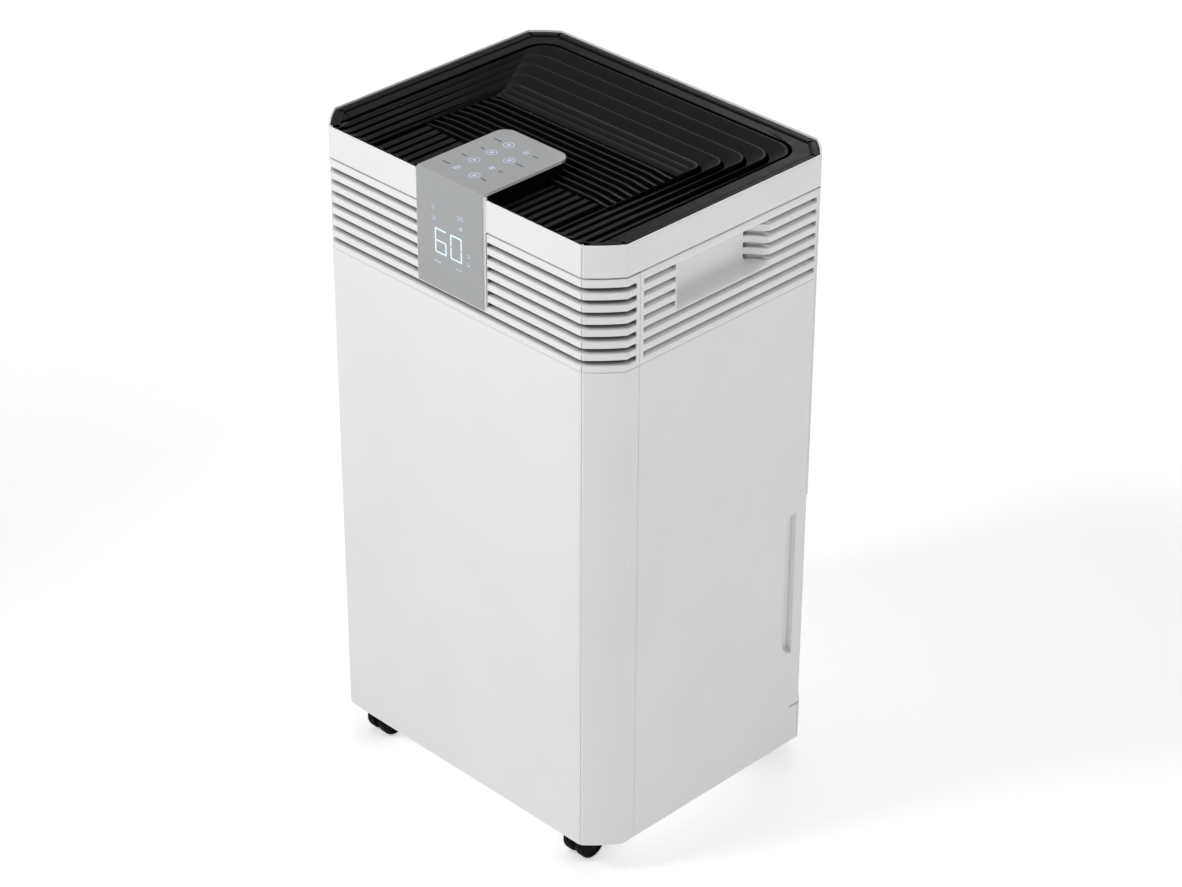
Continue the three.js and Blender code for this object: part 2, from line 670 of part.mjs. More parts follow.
function tankLid() {
  const lap = 3; // the plate rests this far past the mouth
  const rimWall = 2;
  const [front, back] = MOUTH_Y;
  const half = MOUTH_HALF_WIDTH - 0.5;
  const plate = box(
    [-MOUTH_HALF_WIDTH - lap, MOUTH_HALF_WIDTH + lap],
    [front - lap, back + lap],
    [TANK_RIM + GAP, TANK_RIM + 3],
  );
  const rim = box([-half, half], [front + 0.5, back - 0.5], [TANK_RIM - 6, TANK_RIM + 1]).subtract(
    box(
      [rimWall - half, half - rimWall],
      [front + 0.5 + rimWall, back - 0.5 - rimWall],
      [TANK_RIM - 6, TANK_RIM + GAP],
    ),
  );
  const inlet = turned([[0, 202], [20, 202], [20, 207.8], [0, 207.8]], [60, 76], 16);
  const funnel = turned([[0, 190], [4.5, 190], [4.5, 203.5], [18, 209], [0, 209]], [60, 76], 16);
  return joined([plate, rim, inlet]).subtract(funnel);
}

// Carrying bail, folded back flat.
function tankHandle() {
  const [y, z] = HANDLE_PIVOT;
  const eye = cylinder("x", HANDLE_PIVOT, 6, 166, 171, 14);
  const arm = box([166, 171], [y, y + HANDLE_ARM + 4], [z - 3.4, z + 3.4]);
  const hole = cylinder("x", HANDLE_PIVOT, 2.8, 160, 180, 12);
  const side = eye.add(arm).subtract(hole);
  const bar = box([-168, 168], [y + HANDLE_ARM - 4, y + HANDLE_ARM + 4], [z - 3.4, z + 3.4]);
  const grip = cylinder("x", [y + HANDLE_ARM, z + 0.5], 5.2, -45, 45, 10).subtract(
    box([-50, 50], [0, 200], [190, z - 3.4]),
  );
  return joined([side, mirroredX(side), bar, grip]);
}

function tankFloat() {
  const [y, z] = FLOAT_PIVOT;
  const pin = cylinder("x", FLOAT_PIVOT, 2.5, FLOAT_X[0] + 5, FLOAT_X[1] - 5, 12);
  const arm = extrude(
    [
      [y - 3, z - 3],
      [y + 22, z - 18],
      [y + 22, z - 12],
      [y + 3, z + 3],
    ],
    "x",
    FLOAT_X[0] + 11,
    FLOAT_X[1] - 11,
  );
  const body = box(FLOAT_X, [y + 18, y + 54], [z - 36, z - 12]);
  return joined([pin, arm, body]);
}

// ---------------------------------------------------------------- refrigeration and air path

const PIPE_RADIUS = 4;
const DISCHARGE_HOLE = [-164, -62];
const SUCTION_HOLE = [-164, -22];
const PIPE_LANE_X = -166; // the pipes run up between the air path and the side panel

function shelf() {
  let plate = extrude(bodyOutline(WALL + 0.6), "z", SHELF_Z, SHELF_Z + 3);
  for (const hole of [DISCHARGE_HOLE, SUCTION_HOLE]) {
    plate = plate.subtract(cylinder("z", hole, 8, 270, 290, 12));
  }
  return plate.subtract(cylinder("z", [60, 76], 10, 270, 290, 16));
}

function bayWall() {
  return box([-181, 181], [0.5, 2.5], [4.3, SHELF_Z - GAP]);
}

function dripTray() {
  const outer = box([-146, 146], [58, 123], [SHELF_Z + 3.3, 298]);
  const inner = box([-144, 144], [60, 121], [SHELF_Z + 5.3, 300]);
  const spout = turned([[0, 272.5], [7, 272.5], [8, 281], [0, 281]], [60, 76], 12);
  const bore = turned([[0, 250], [5, 250], [5, 285], [0, 285]], [60, 76], 12);
  return outer.subtract(inner).add(spout).subtract(bore);
}

const COIL_HALF_WIDTH = 132;
const COIL_Z = [300, 560];
const COIL_FIN_GROUPS = 10;
const COIL_ROWS = 4;

// A fin-and-tube coil: a pack of grouped fins with the bends of the tube at both ends.
function coil([y0, y1]) {
  const half = COIL_HALF_WIDTH;
  const [z0, z1] = COIL_Z;
  let pack = box([-half, half], [y0, y1], COIL_Z);
  const pitch = (2 * half) / COIL_FIN_GROUPS;
  for (let i = 1; i < COIL_FIN_GROUPS; i += 1) {
    const x = -half + pitch * i;
    pack = pack.subtract(box([x - 1, x + 1], [y0 - 1, y0 + 3], [z0 - 1, z1 + 1]));
    pack = pack.subtract(box([x - 1, x + 1], [y1 - 3, y1 + 1], [z0 - 1, z1 + 1]));
  }
  const middle = (y0 + y1) / 2;
  const bends = [];
  for (let i = 0; i < COIL_ROWS; i += 1) {
    const z = z0 + ((i + 0.5) * (z1 - z0)) / COIL_ROWS;
    const outline = [
      [half - 2, z - 12],
      [half + 6, z - 9],
      [half + 9, z],
      [half + 6, z + 9],
      [half - 2, z + 12],
    ];
    const bend = extrude(outline, "y", middle - 4, middle + 4);
    bends.push(bend, mirroredX(bend));
  }
  return joined([pack, ...bends]);
}

const COMPRESSOR = [-56, -74];
const COMPRESSOR_RADIUS = 55;
const ACCUMULATOR = [28, -84];

function compressorFeet() {
  return [90, 210, 330].map((degrees) => {
    const angle = (degrees * Math.PI) / 180;
    const reach = COMPRESSOR_RADIUS + 4;
    return [COMPRESSOR[0] + reach * Math.cos(angle), COMPRESSOR[1] + reach * Math.sin(angle)];
  });
}

function compressor() {
  const r = COMPRESSOR_RADIUS;
  const profile = [[0, 18], [r - 12, 18], [r, 28], [r, 185], [r - 14, 204], [r - 34, 210], [0, 211]];
  const shell = turned(profile, COMPRESSOR, 18);
  const weld = turned([[0, 176], [r + 2, 176], [r + 2, 181], [0, 181]], COMPRESSOR, 18);
  const ears = compressorFeet().map((foot) => cylinder("z", foot, 13, 18.3, 22, 12));
  const port = cylinder("z", COMPRESSOR, 5, 205, 221, 10);
  const terminals = box([-92, -52], [-134, -118], [110, 150]);
  return joined([shell, weld, ...ears, port, terminals]);
}

function accumulator() {
  const r = 22;
  const profile = [[0, 30], [7, 31], [r, 44], [r, 150], [8, 166], [5, 168], [5, 176], [0, 176]];
  return turned(profile, ACCUMULATOR, 16);
}

function dischargePipe() {
  const [x, y] = COMPRESSOR;
  const [holeX, holeY] = DISCHARGE_HOLE;
  const route = [
    [x, y, 221.4],
    [x, y, 236],
    [x - 40, y + 4, 254],
    [holeX, holeY, 262],
    [holeX, holeY, 300],
    [PIPE_LANE_X, -20, 420],
    [PIPE_LANE_X, 45, 488],
    [-158, 72, 500],
    [-141.6, 75, 500],
  ];
  return pipe(route, PIPE_RADIUS, 22);
}

function suctionPipe() {
  const [x, y] = ACCUMULATOR;
  const [holeX, holeY] = SUCTION_HOLE;
  const route = [
    [x, y, 176.4],
    [x, y, 205],
    [x - 30, y + 24, 242],
    [-110, -30, 254],
    [holeX, holeY, 262],
    [holeX, holeY, 300],
    [PIPE_LANE_X, 40, 328],
    [-160, 98, 345],
    [-141.6, 106, 345],
  ];
  return pipe(route, PIPE_RADIUS, 22);
}

function capillaryTube() {
  const route = [
    [141.6, 75, 330],
    [149, 74, 334],
    [151, 62, 350],
    [151, 64, 380],
    [150, 90, 396],
    [147, 105, 384],
    [141.6, 106, 376],
  ];
  return pipe(route, 1.6, 16);
}

const FAN_HOUSING_Y = [-56, 24];
const SHAFT_RADIUS = 4;

// The volute widens from the tongue round to the outlet, which flares out under the slats.
function voluteOutline() {
  const points = [];
  const steps = 14;
  const start = 68;
  for (let i = 0; i <= steps; i += 1) {
    const turn = i / steps;
    const angle = ((start + (360 - start) * turn) * Math.PI) / 180;
    const radius = 106 + 34 * turn;
    points.push([radius * Math.cos(angle), FAN_AXIS_Z + radius * Math.sin(angle)]);
  }
  points.push([148, 600], [-108, 600]);
  return points;
}

function fanHousing() {
  const [y0, y1] = FAN_HOUSING_Y;
  const outline = voluteOutline();
  const shell = extrude(outline, "y", y0, y1);
  const hollow = extrude(insetPolygon(outline, 2), "y", y0 + 2, y1 - 2);
  const outlet = box([-100, 144], [y0 + 2, y1 - 2], [585, 620]);
  const inlet = cylinder("y", [0, FAN_AXIS_Z], 78, y1 - 5, y1 + 5, 20);
  const shaftHole = cylinder("y", [0, FAN_AXIS_Z], 14, y0 - 5, y0 + 5, 16);
  return shell.subtract(hollow).subtract(outlet).subtract(inlet).subtract(shaftHole);
}

// Air reaches the fan only through the round hole in this plate.
function bulkhead() {
  const plate = box([-158, 158], [27, 29], [SHELF_Z + 3.3, 591]);
  return plate.subtract(cylinder("y", [0, FAN_AXIS_Z], 74, 20, 40, 20));
}

// Forward-curved blades between a back plate and a ring.
function fanWheel() {
  const [y0, y1] = [FAN_HOUSING_Y[0] + 8, FAN_HOUSING_Y[1] - 8];
  const centre = [0, FAN_AXIS_Z];
  const plate = cylinder("y", centre, FAN_RADIUS, y0, y0 + 2, 24);
  const ring = cylinder("y", centre, FAN_RADIUS, y1 - 3, y1, 24).subtract(
    cylinder("y", centre, FAN_RADIUS - 5, y1 - 10, y1 + 10, 24),
  );
  const hub = cylinder("y", centre, 12, y0 - 4, y0 + 24, 12);
  const blades = [];
  const count = 12;
  for (let i = 0; i < count; i += 1) {
    const angle = (2 * Math.PI * i) / count;
    const across = (radius, turn) => [
      radius * Math.cos(angle + turn),
      FAN_AXIS_Z + radius * Math.sin(angle + turn),
    ];
    const outer = FAN_RADIUS - 0.5;
    const inner = FAN_RADIUS - 16;
    const outline = [across(inner, 0), across(outer, 0.1), across(outer, 0.125), across(inner, 0.025)];
    blades.push(extrude(outline, "y", y0 + 1, y1 - 1));
  }
  const shaft = cylinder("y", centre, SHAFT_RADIUS, y0 - 16, y0, 10);
  return joined([plate, ring, hub, shaft, ...blades]);
}

// A round can held in front of the housing by a cross of flat struts.
function fanMotor() {
  const centre = [0, FAN_AXIS_Z];
  const can = cylinder("y", centre, 42, -116, -66, 20);
  const neck = cylinder("y", centre, 20, -67, -58, 16);
  const bore = cylinder("y", centre, SHAFT_RADIUS + GAP, -68, -50, 10);
  const [reach, half] = [70, 7];
  const across = box([-reach, reach], [-64, -58], [FAN_AXIS_Z - half, FAN_AXIS_Z + half]);
  const upright = box([-half, half], [-64, -58], [FAN_AXIS_Z - reach, FAN_AXIS_Z + reach]);
  return joined([can, neck, across, upright]).subtract(bore);
}

function controlBox() {
  const shell = box([62, 158], [-138, -92], [300, 424]);
  return shell.subtract(box([64, 156], [-136, -80], [302, 422]));
}

function mainBoard() {
  const board = box([66, 154], [-130, -128.4], [304, 420]);
  const parts = [
    box([72, 102], [-128.8, -102], [310, 338]),
    box([112, 128], [-128.8, -112], [310, 328]),
    box([132, 148], [-128.8, -112], [310, 328]),
    box([72, 96], [-128.8, -108], [380, 412]),
    box([110, 150], [-128.8, -121], [396, 410]),
  ];
  const drums = [112, 130, 146].map((x) => cylinder("y", [x, 356], 6, -128.8, -108, 10));
  return joined([board, ...parts, ...drums]);
}

function runCapacitor() {
  return cylinder("z", [-110, -118], 18, SHELF_Z + 3.3, 345, 16).add(
    box([-118, -102], [-120, -116], [344, 352]),
  );
}

function humiditySensor() {
  return box([-163, -161], [110, 126], [440, 470]).add(box([-161.5, -156], [114, 122], [448, 462]));
}

function floatSensor() {
  const x = (FLOAT_X[0] + FLOAT_X[1]) / 2;
  return box([x - 14, x + 14], [-9, 0.2], [174, 196]).add(box([x - 4, x + 4], [-13, -8], [180, 190]));
}

// ---------------------------------------------------------------- casters

// A cup pushed up through the tray, with its flange on the tray's inside.
function casterSocket(x, y) {
  const flange = cylinder("z", [x, y], 16, 4 + GAP, 6, 12);
  const cup = cylinder("z", [x, y], SOCKET_RADIUS, 0, 14, 12);
  return flange.add(cup).subtract(cylinder("z", [x, y], 4 + GAP, -10, 20, 12));
}

// A thin web between the two wheels, under an arched hood that carries the swivel stem.
function casterFork(x, y, trail) {
  const axle = [y, WHEEL_RADIUS - CASTER_HEIGHT];
  const top = -2.4;
  const stem = cylinder("z", [x, y + trail * CASTER_TRAIL], 4, top - 8, 12, 12);
  const reach = (from, to) => [y + trail * from, y + trail * to].sort((a, b) => a - b);
  const hood = box([x - 10, x + 10], reach(6, 20), [top - 9, top]);
  const wheelRoom = cylinder("x", axle, WHEEL_RADIUS + 0.9, x - 20, x + 20, 20);
  const web = extrude(
    [
      [y - trail * 5, axle[1] - 5],
      [y + trail * 5, axle[1] - 5],
      [y + trail * 15, top - 5],
      [y + trail * 15, top],
      [y - trail * 5, top],
    ],
    "x",
    x - 2.4,
    x + 2.4,
  );
  const pinHole = cylinder("x", axle, 3 + GAP, x - 20, x + 20, 10);
  return stem.add(hood).subtract(wheelRoom).add(web).subtract(pinHole);
}

// Twin wheels on one axle. Their flats, not their corners, are at the wheel's true radius.
function casterWheel(x, y) {
  const axle = [y, WHEEL_RADIUS - CASTER_HEIGHT];
  const sides = 24;
  const pin = cylinder("x", axle, 3, x - 14, x + 14, 10);
  const discs = [[x - 14, x - 2.8], [x + 2.8, x + 14]].map(([near, far]) =>
    cylinder("x", axle, WHEEL_RADIUS / Math.cos(Math.PI / sides), near, far, sides),
  );
  return joined([pin, ...discs]);
}

// ---------------------------------------------------------------- put it together

addPiece("base_tray", baseTray(), white);
addPiece("front_panel", frontPanel(), white);
addPiece("front_louvres", frontLouvres(), white);
addPair("side_panel", sidePanel(), white);
addPair("side_louvres", sideLouvres(), white);
addPair("handle_cup", handleCup(), white);
addPiece("back_cover", backCover(), white);
addPiece("top_frame", topFrame(), white);
addPiece("top_grille", topGrille(), black);
addPiece("control_panel", controlPanel(), grey);
addPiece("panel_carrier", panelCarrier(), white);
addPiece("display_board", displayBoard(), boardGreen);
addPiece("touch_board", touchBoard(), boardGreen);
addPiece("intake_grille", intakeGrille(), white);
addPiece("air_filter", airFilter(), rubber);
addPiece("drain_cap", drainCap(), rubber);
addPiece("cord_gland", cordGland(), rubber);

addPiece("water_tank", waterTank(), innerWhite);
addPiece("tank_cover", tankCover(), white);
addPiece("level_window", levelWindow(), clear);
addPiece("tank_lid", tankLid(), innerWhite);
addPiece("tank_handle", tankHandle(), innerWhite);
addPiece("tank_float", tankFloat(), innerWhite);

addPiece("shelf", shelf(), innerWhite);
addPiece("bay_wall", bayWall(), innerWhite);
addPiece("drip_tray", dripTray(), innerWhite);
addPiece("evaporator", coil([94, 118]), finMetal);
addPiece("condenser", coil([63, 87]), finMetal);
addPiece("compressor", compressor(), darkSteel);
compressorFeet().forEach((foot, i) => {
  const profile = [[0, 4.3], [11, 4.3], [8, 9], [8, 12], [11, 18], [0, 18]];
  addPiece(`compressor_foot_${i + 1}`, turned(profile, foot, 12), rubber);
});
addPiece("accumulator", accumulator(), darkSteel);
addPiece("discharge_pipe", dischargePipe(), copper);
addPiece("suction_pipe", suctionPipe(), copper);
addPiece("capillary_tube", capillaryTube(), copper);
addPiece("fan_housing", fanHousing(), innerWhite);
addPiece("bulkhead", bulkhead(), innerWhite);
addPiece("fan_wheel", fanWheel(), innerWhite);
addPiece("fan_motor", fanMotor(), steel);
addPiece("control_box", controlBox(), innerWhite);
addPiece("main_board", mainBoard(), boardGreen);
addPiece("run_capacitor", runCapacitor(), innerWhite);
addPiece("humidity_sensor", humiditySensor(), boardGreen);
addPiece("float_sensor", floatSensor(), rubber);

for (const [corner, x, y, trail] of CASTERS) {
  addPiece(`caster_socket_${corner}`, casterSocket(x, y + trail * CASTER_TRAIL), rubber);
  addPiece(`caster_fork_${corner}`, casterFork(x, y, trail), black);
  addPiece(`caster_wheel_${corner}`, casterWheel(x, y), rubber);
}

export default dehumidifier;
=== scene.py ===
"""Looks of a portable dehumidifier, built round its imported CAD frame.

Lengths are in millimetres until a mesh is made. Heights are counted from the casing's bottom edge,
which is CASTER_HEIGHT above the floor. The front faces -Y and +Z is up.
"""

from collections import namedtuple
from math import ceil, copysign, cos, hypot, pi, radians, sin, sqrt, tan

import bmesh
import bpy
from mathutils import Euler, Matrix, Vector


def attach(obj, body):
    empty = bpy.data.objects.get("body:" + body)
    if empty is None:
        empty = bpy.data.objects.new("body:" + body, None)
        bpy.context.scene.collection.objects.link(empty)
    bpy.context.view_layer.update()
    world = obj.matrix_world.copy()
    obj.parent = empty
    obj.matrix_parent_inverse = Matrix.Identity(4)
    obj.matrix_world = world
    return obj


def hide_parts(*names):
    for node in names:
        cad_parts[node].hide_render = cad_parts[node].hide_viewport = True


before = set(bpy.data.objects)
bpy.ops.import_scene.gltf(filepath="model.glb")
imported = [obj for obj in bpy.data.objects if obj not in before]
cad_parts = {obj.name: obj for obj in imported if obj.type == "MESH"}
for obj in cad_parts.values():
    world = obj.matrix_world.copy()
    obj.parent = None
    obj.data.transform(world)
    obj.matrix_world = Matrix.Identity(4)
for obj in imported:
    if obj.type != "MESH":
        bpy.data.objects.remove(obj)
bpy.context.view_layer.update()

# ---------------- sizes

MM = 0.001
CASTER_HEIGHT = 33.3
HALF_WIDTH = 185.0
HALF_DEPTH = 146.0
BODY_TOP = 621.8  # black rim
FRAME_TOP = 623.5  # white edge round it
WALL = 2.6
EDGE = 0.45  # rounding of a moulded edge
EDGE_MIDDLE = 0.13  # how far the middle of that rounding is from both faces
TUCK = 0.6  # depth of the strip behind a seam
RING_GROOVE = 1.7  # depth of the groove under the top ring
COLUMN_STEP = 12.0  # longest step between columns along the outline

FRONT_CHAMFER = (25.8, 29.0)
BACK_CHAMFER = (24.5, 22.5)
CHAMFER_BOW = 1.2
# Fine line down the front edge of each front chamfer: (distance past the edge, depth).
CREASE = [(-4.0, 0.0), (-1.8, 0.15), (-0.6, 0.7), (0.0, 2.4), (0.6, 0.7), (1.5, 0.0)]

FRONT_SEAM_Y = -101.6
BACK_SEAM_Y = 121.2
BELT_BOTTOM = 502.5
BELT_TOP = 592.5
SEAM_GAP = 0.3
SIDE_START = FRONT_SEAM_Y + SEAM_GAP / 2
SHELL_TOP = BELT_BOTTOM - SEAM_GAP
RING_GAP = 0.8  # between the belt and the top ring

SLOT_COUNT = 7
SLOT_TOP = 584.1
SLOT_PITCH = 11.65
SLOT_HEIGHT = 5.5
SLOT_SPAN = 5.9  # from a slot's top edge to where the face below it is flush again
SLOT_DEPTH = 5.2
SLOT_RADIUS = 1.3  # of the corners at a slot's ends
SLOT_END_Y = -106.0  # front slots run round the chamfer to here
SIDE_SLOTS_Y = (-97.4, 119.0)
PANEL_SLOT_X = 44.5  # front slots start under the panel's white edge

POCKET_Y = (-57.5, 41.0, 61.0)  # sharp front edge, end of the flat back, end of the curved rear
POCKET_DEPTH = 17.6
POCKET_SLOTS = 4
POCKET_POST = 1.2  # upright edge between the front slots and the pocket
POCKET_SLOT_START = 43.0
POCKET_SLOT_CHANGE = 56.0  # the deep slots turn into sloping ones here
POCKET_OPENING = 7.0
POCKET_FLOOR = SLOT_TOP - (POCKET_SLOTS - 1) * SLOT_PITCH - SLOT_SPAN
POCKET_FILLET = 5.0  # between the pocket's back and its floor

PANEL_HALF_WIDTH = 41.7
PANEL_BOTTOM = 517.0
PANEL_TOP = 628.2
PANEL_FRONT = -148.6
PANEL_BACK = -40.8
PANEL_CORNER = 13.0
PANEL_FOLD = 3.4
PANEL_THICKNESS = 2.4
PANEL_EDGE = 0.5
PANEL_EDGE_MIDDLE = 0.14
CARRIER_HALF_WIDTH = 43.3
FRONT_PRINT_Y = (-148.55, -148.4)
TOP_PRINT_Z = (628.0, 628.17)
ICON_X = (-13.2, 8.6)
ICON_Y = (-126.0, -64.5)

TANK_SEAM_Y = 110.0
TANK_BOTTOM = 40.6
TANK_TOP = 273.8
TANK_WALL = 2.4
COVER_INSET = 1.0
LEVEL_Z = (71.7, 182.3)  # opening for the window in the tank's cover
LEVEL_HALF_WIDTH = 7.3
DECK_TOP = 39.9
SCOOP_Y = (95.0, 109.7)
SCOOP_Z = (105.0, 264.0)
SCOOP_DEPTH = 6.8
SCOOP_WALL = 7.5  # width of the curved front wall
SCOOP_END = 20.0  # length of each rounded end
SEAM_OVERLAP = 0.6  # the strips over and under the tank start this far before its seam

INTAKE_HALF_WIDTH = 150.0
INTAKE_Z = (312.0, 572.0)
PORT_X = 120.0  # drain port on the left, cord bush on the right
PORT_Z = 298.0

BLADE_COUNT = 5
BLADE_PITCH_X = 10.4
BLADE_PITCH_Y = 19.5
BLADE_WIDTH_X = 6.2
BLADE_WIDTH_Y = 17.5
BLADE_FALL = 3.8  # where a blade is at least BLADE_WIDTH_Y wide
BLADE_CREST_X = 159.4
BLADE_CREST_Y = 121.6
BLADE_RADIUS = (22.0, 3.0)  # of the outermost blade's corners, and how much less each next one has
BLADE_TOP = 620.2
DISH = 0.57  # each blade lies this much lower than the one outside it
FRONT_DISH = 0.25  # the same for the straight front blades
TIER_X = 162.8  # inner edge of the step between the rim and the outermost blade
TIER_Y = 123.8
TIER_RADIUS = 24.0
TIER_TURN_Y = 101.0  # the step's outer edge starts round the back corner here
FRONT_CURVE = 9.0  # the blades rise to the front rim over this length
BLADE_START = 1.2  # the blades start this far under the front rim
BLADE_FOOT = -2.0  # points of a blade lower than this under its crest stay down at the front
FRONT_STEPS = (12.0, 10)  # length and number of the fine steps at a blade's front end
SIDE_STEPS = 8
FIELD_FRONT = -141.5
FIELD_BOTTOM = 613.0
SLAT_FIELD_X = 114.6
SLAT_FIELD_Y = (-74.0, 17.0)
SLAT_TOP = 617.6
SLAT_COUNT = 9
SLAT_PITCH = 9.6
SLAT_REACH = 114.5
SLAT_DROOP = 1.8
SLAT_BEND = (93.0, 22.0)  # where a slat's end starts to droop, and over what length
RIB_X = (-69.0, -23.0, 23.0, 69.0)
RIM_INSET = 10.4
RIM_STEP_X = 150.0
PANEL_WELL_X = 50.3

WHEEL_RADIUS = 15.2
CASTER_PLACES = {
    "front_right": (137.0, -119.0),
    "front_left": (-137.0, -119.0),
    "back_right": (137.0, 117.0),
    "back_left": (-137.0, 117.0),
}

FLOOR_GLOW = (0.42, 0.75)  # near the machine and far away
FLOOR_REACH = (0.7, 1.8)
WORLD_STRENGTH = 0.36
# The lamps: name, place and aim in metres, watts, size in metres, beam angle.
LAMPS = [
    ("key", (-0.9, -1.9, 2.3), (0.0, -0.1, 0.8), 3.1, 0.8, 50.0),
    ("fill", (2.2, 0.3, 2.5), (0.1, 0.0, 0.8), 0.6, 0.8, 50.0),
    ("overhead", (-0.3, 0.4, 2.9), (0.0, 0.0, 0.6), 7.0, 1.6, 120.0),
    ("rim", (-2.3, 3.3, 2.6), (0.1, 0.05, 0.65), 0.28, 0.8, 40.0),
]

# ---------------- mesh helpers

Skin = namedtuple("Skin", "material body slot")


def smoothstep(t):
    t = min(1.0, max(0.0, t))
    return t * t * (3.0 - 2.0 * t)


def mix(a, b, t):
    return a + (b - a) * t


def spread(start, end, count):
    """count + 1 values from start to end."""
    return [mix(start, end, i / count) for i in range(count + 1)]


def mirrored(points):
    """A row of (x, y) pairs that ends in the middle, and its mirror image after it."""
    return points + [(-x, y) for x, y in reversed(points[:-1])]


def around(centre, half):
    """The span that reaches half to both sides of the centre."""
    return (centre - half, centre + half)


def linked(name, data):
    obj = bpy.data.objects.new(name, data)
    bpy.context.scene.collection.objects.link(obj)
    return obj


def new_piece(mesh, bm, skin, nodes, angle):
    """An object shaded smooth up to angle degrees, with its body and the CAD nodes it replaces."""
    bm.to_mesh(mesh)
    bm.free()
    obj = linked(mesh.name, mesh)
    mesh.materials.append(skin.material)
    mesh.shade_smooth()
    mesh.set_sharp_from_angle(angle=radians(angle))
    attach(obj, skin.body)
    if nodes:
        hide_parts(*nodes)
    return obj


def new_object(name, verts, faces, skin, nodes=(), angle=32.0, solid=False):
    """A piece from points in millimetres; a solid one gets its normals turned outwards."""
    mesh = bpy.data.meshes.new(name)
    mesh.from_pydata([(x * MM, y * MM, (z + CASTER_HEIGHT) * MM) for x, y, z in verts], [], faces)
    bm = bmesh.new()
    bm.from_mesh(mesh)
    bmesh.ops.remove_doubles(bm, verts=bm.verts, dist=1e-6)
    bmesh.ops.dissolve_degenerate(bm, edges=bm.edges, dist=1e-7)
    if solid:
        bmesh.ops.recalc_face_normals(bm, faces=bm.faces)
    return new_piece(mesh, bm, skin, nodes, angle)


def grid_faces(columns, rows, closed=False, skip=None):
    """Quads of a grid whose points are stored row by row."""
    faces = []
    last = columns if closed else columns - 1
    for r in range(rows - 1):
        for c in range(last):
            if skip and skip(c, r):
                continue
            n = (c + 1) % columns
            faces.append((r * columns + c, r * columns + n, (r + 1) * columns + n, (r + 1) * columns + c))
    return faces


def sheet(columns, rows, point, skip=None):
    """Points and faces of a sheet whose columns and rows are (place, inset); the larger inset counts."""
    verts = [point(c, row, max(row_inset, inset)) for row, row_inset in rows for c, inset in columns]
    return verts, grid_faces(len(columns), len(rows), skip=skip)


def lofted(name, lofts, skin, nodes=(), closed=True, caps=True, angle=32.0):
    """Skins over rings of points; every ring of one loft has the same length."""
    verts, faces = [], []
    for rings in lofts:
        base, count = len(verts), len(rings[0])
        verts += [point for ring in rings for point in ring]
        faces += [tuple(i + base for i in face) for face in grid_faces(count, len(rings), closed)]
        if caps and closed:
            faces.append(tuple(range(base, base + count)))
            faces.append(tuple(range(len(verts) - count, len(verts))))
    return new_object(name, verts, faces, skin, nodes, angle, solid=closed)


def bevelled(name, boxes, skin, nodes=(), bevel=0.6):
    """Blocks ((x0, x1), (y0, y1), (z0, z1)) with rounded edges, in one object."""
    bm = bmesh.new()
    for (x0, x1), (y0, y1), (z0, z1) in boxes:
        for v in bmesh.ops.create_cube(bm, size=1.0)["verts"]:
            v.co.x = mix(x0, x1, v.co.x + 0.5) * MM
            v.co.y = mix(y0, y1, v.co.y + 0.5) * MM
            v.co.z = (mix(z0, z1, v.co.z + 0.5) + CASTER_HEIGHT) * MM
    if bevel:
        edges = bm.edges[:]
        bmesh.ops.bevel(bm, geom=edges, offset=bevel * MM, segments=2, profile=0.5, affect="EDGES")
    return new_piece(bpy.data.meshes.new(name), bm, skin, nodes, 40.0)


def circle(radius, count):
    step = 2 * pi / count
    return [(radius * cos(i * step), radius * sin(i * step)) for i in range(count)]


def turned(name, profile, centre, axis, skin, nodes=(), sides=48, caps=True):
    """A piece turned about the x or y axis. The profile is (radius, place along the axis) pairs."""
    rings = []
    for radius, w in profile:
        ring = [(centre[0] + a, centre[1] + b) for a, b in circle(max(radius, 0.01), sides)]
        rings.append([(w, u, v) if axis == "x" else (u, w, v) for u, v in ring])
    return lofted(name, [rings], skin, nodes, caps=caps)


# ---------------- materials


def set_values(node, values):
    for key, value in values.items():
        if key in node.inputs:
            node.inputs[key].default_value = value
        else:
            setattr(node, key, value)
    return node


def add_node(tree, kind, **values):
    return set_values(tree.nodes.new(kind), values)


def shader(name, color, roughness, **more):
    """A material, its node tree and its main node; more holds further values of that node."""
    material = bpy.data.materials.new(name)
    material.use_nodes = True
    tree = material.node_tree
    values = {"Base Color": (*color, 1.0), "Roughness": roughness, **more}
    return material, tree, set_values(tree.nodes["Principled BSDF"], values)


def object_space(tree, socket):
    """Feeds a socket with coordinates in object space."""
    place = add_node(tree, "ShaderNodeTexCoord")
    tree.links.new(place.outputs["Object"], socket)


def noise(tree, scale, detail=2.0, stretch=(1.0, 1.0, 1.0)):
    """Noise in object space, in cycles per metre."""
    mapping = add_node(tree, "ShaderNodeMapping", Scale=stretch)
    texture = add_node(tree, "ShaderNodeTexNoise", Scale=scale, Detail=detail)
    object_space(tree, mapping.inputs["Vector"])
    tree.links.new(mapping.outputs["Vector"], texture.inputs["Vector"])
    return texture.outputs["Fac"]


def ramp(tree, source, low, high, start=0.3, end=0.7):
    """Maps start to end of the source onto low to high."""
    limits = {"From Min": start, "From Max": end, "To Min": low, "To Max": high}
    node = add_node(tree, "ShaderNodeMapRange", **limits)
    tree.links.new(source, node.inputs["Value"])
    return node.outputs["Result"]


def vary_color(tree, bsdf, source, light, dark):
    """The lighter tone where the source is 1, the darker one where it is 0."""
    blend = add_node(tree, "ShaderNodeMix", data_type="RGBA")
    blend.inputs[6].default_value = (*dark, 1.0)
    blend.inputs[7].default_value = (*light, 1.0)
    tree.links.new(source, blend.inputs[0])
    tree.links.new(blend.outputs[2], bsdf.inputs["Base Color"])
    return blend.outputs[2]


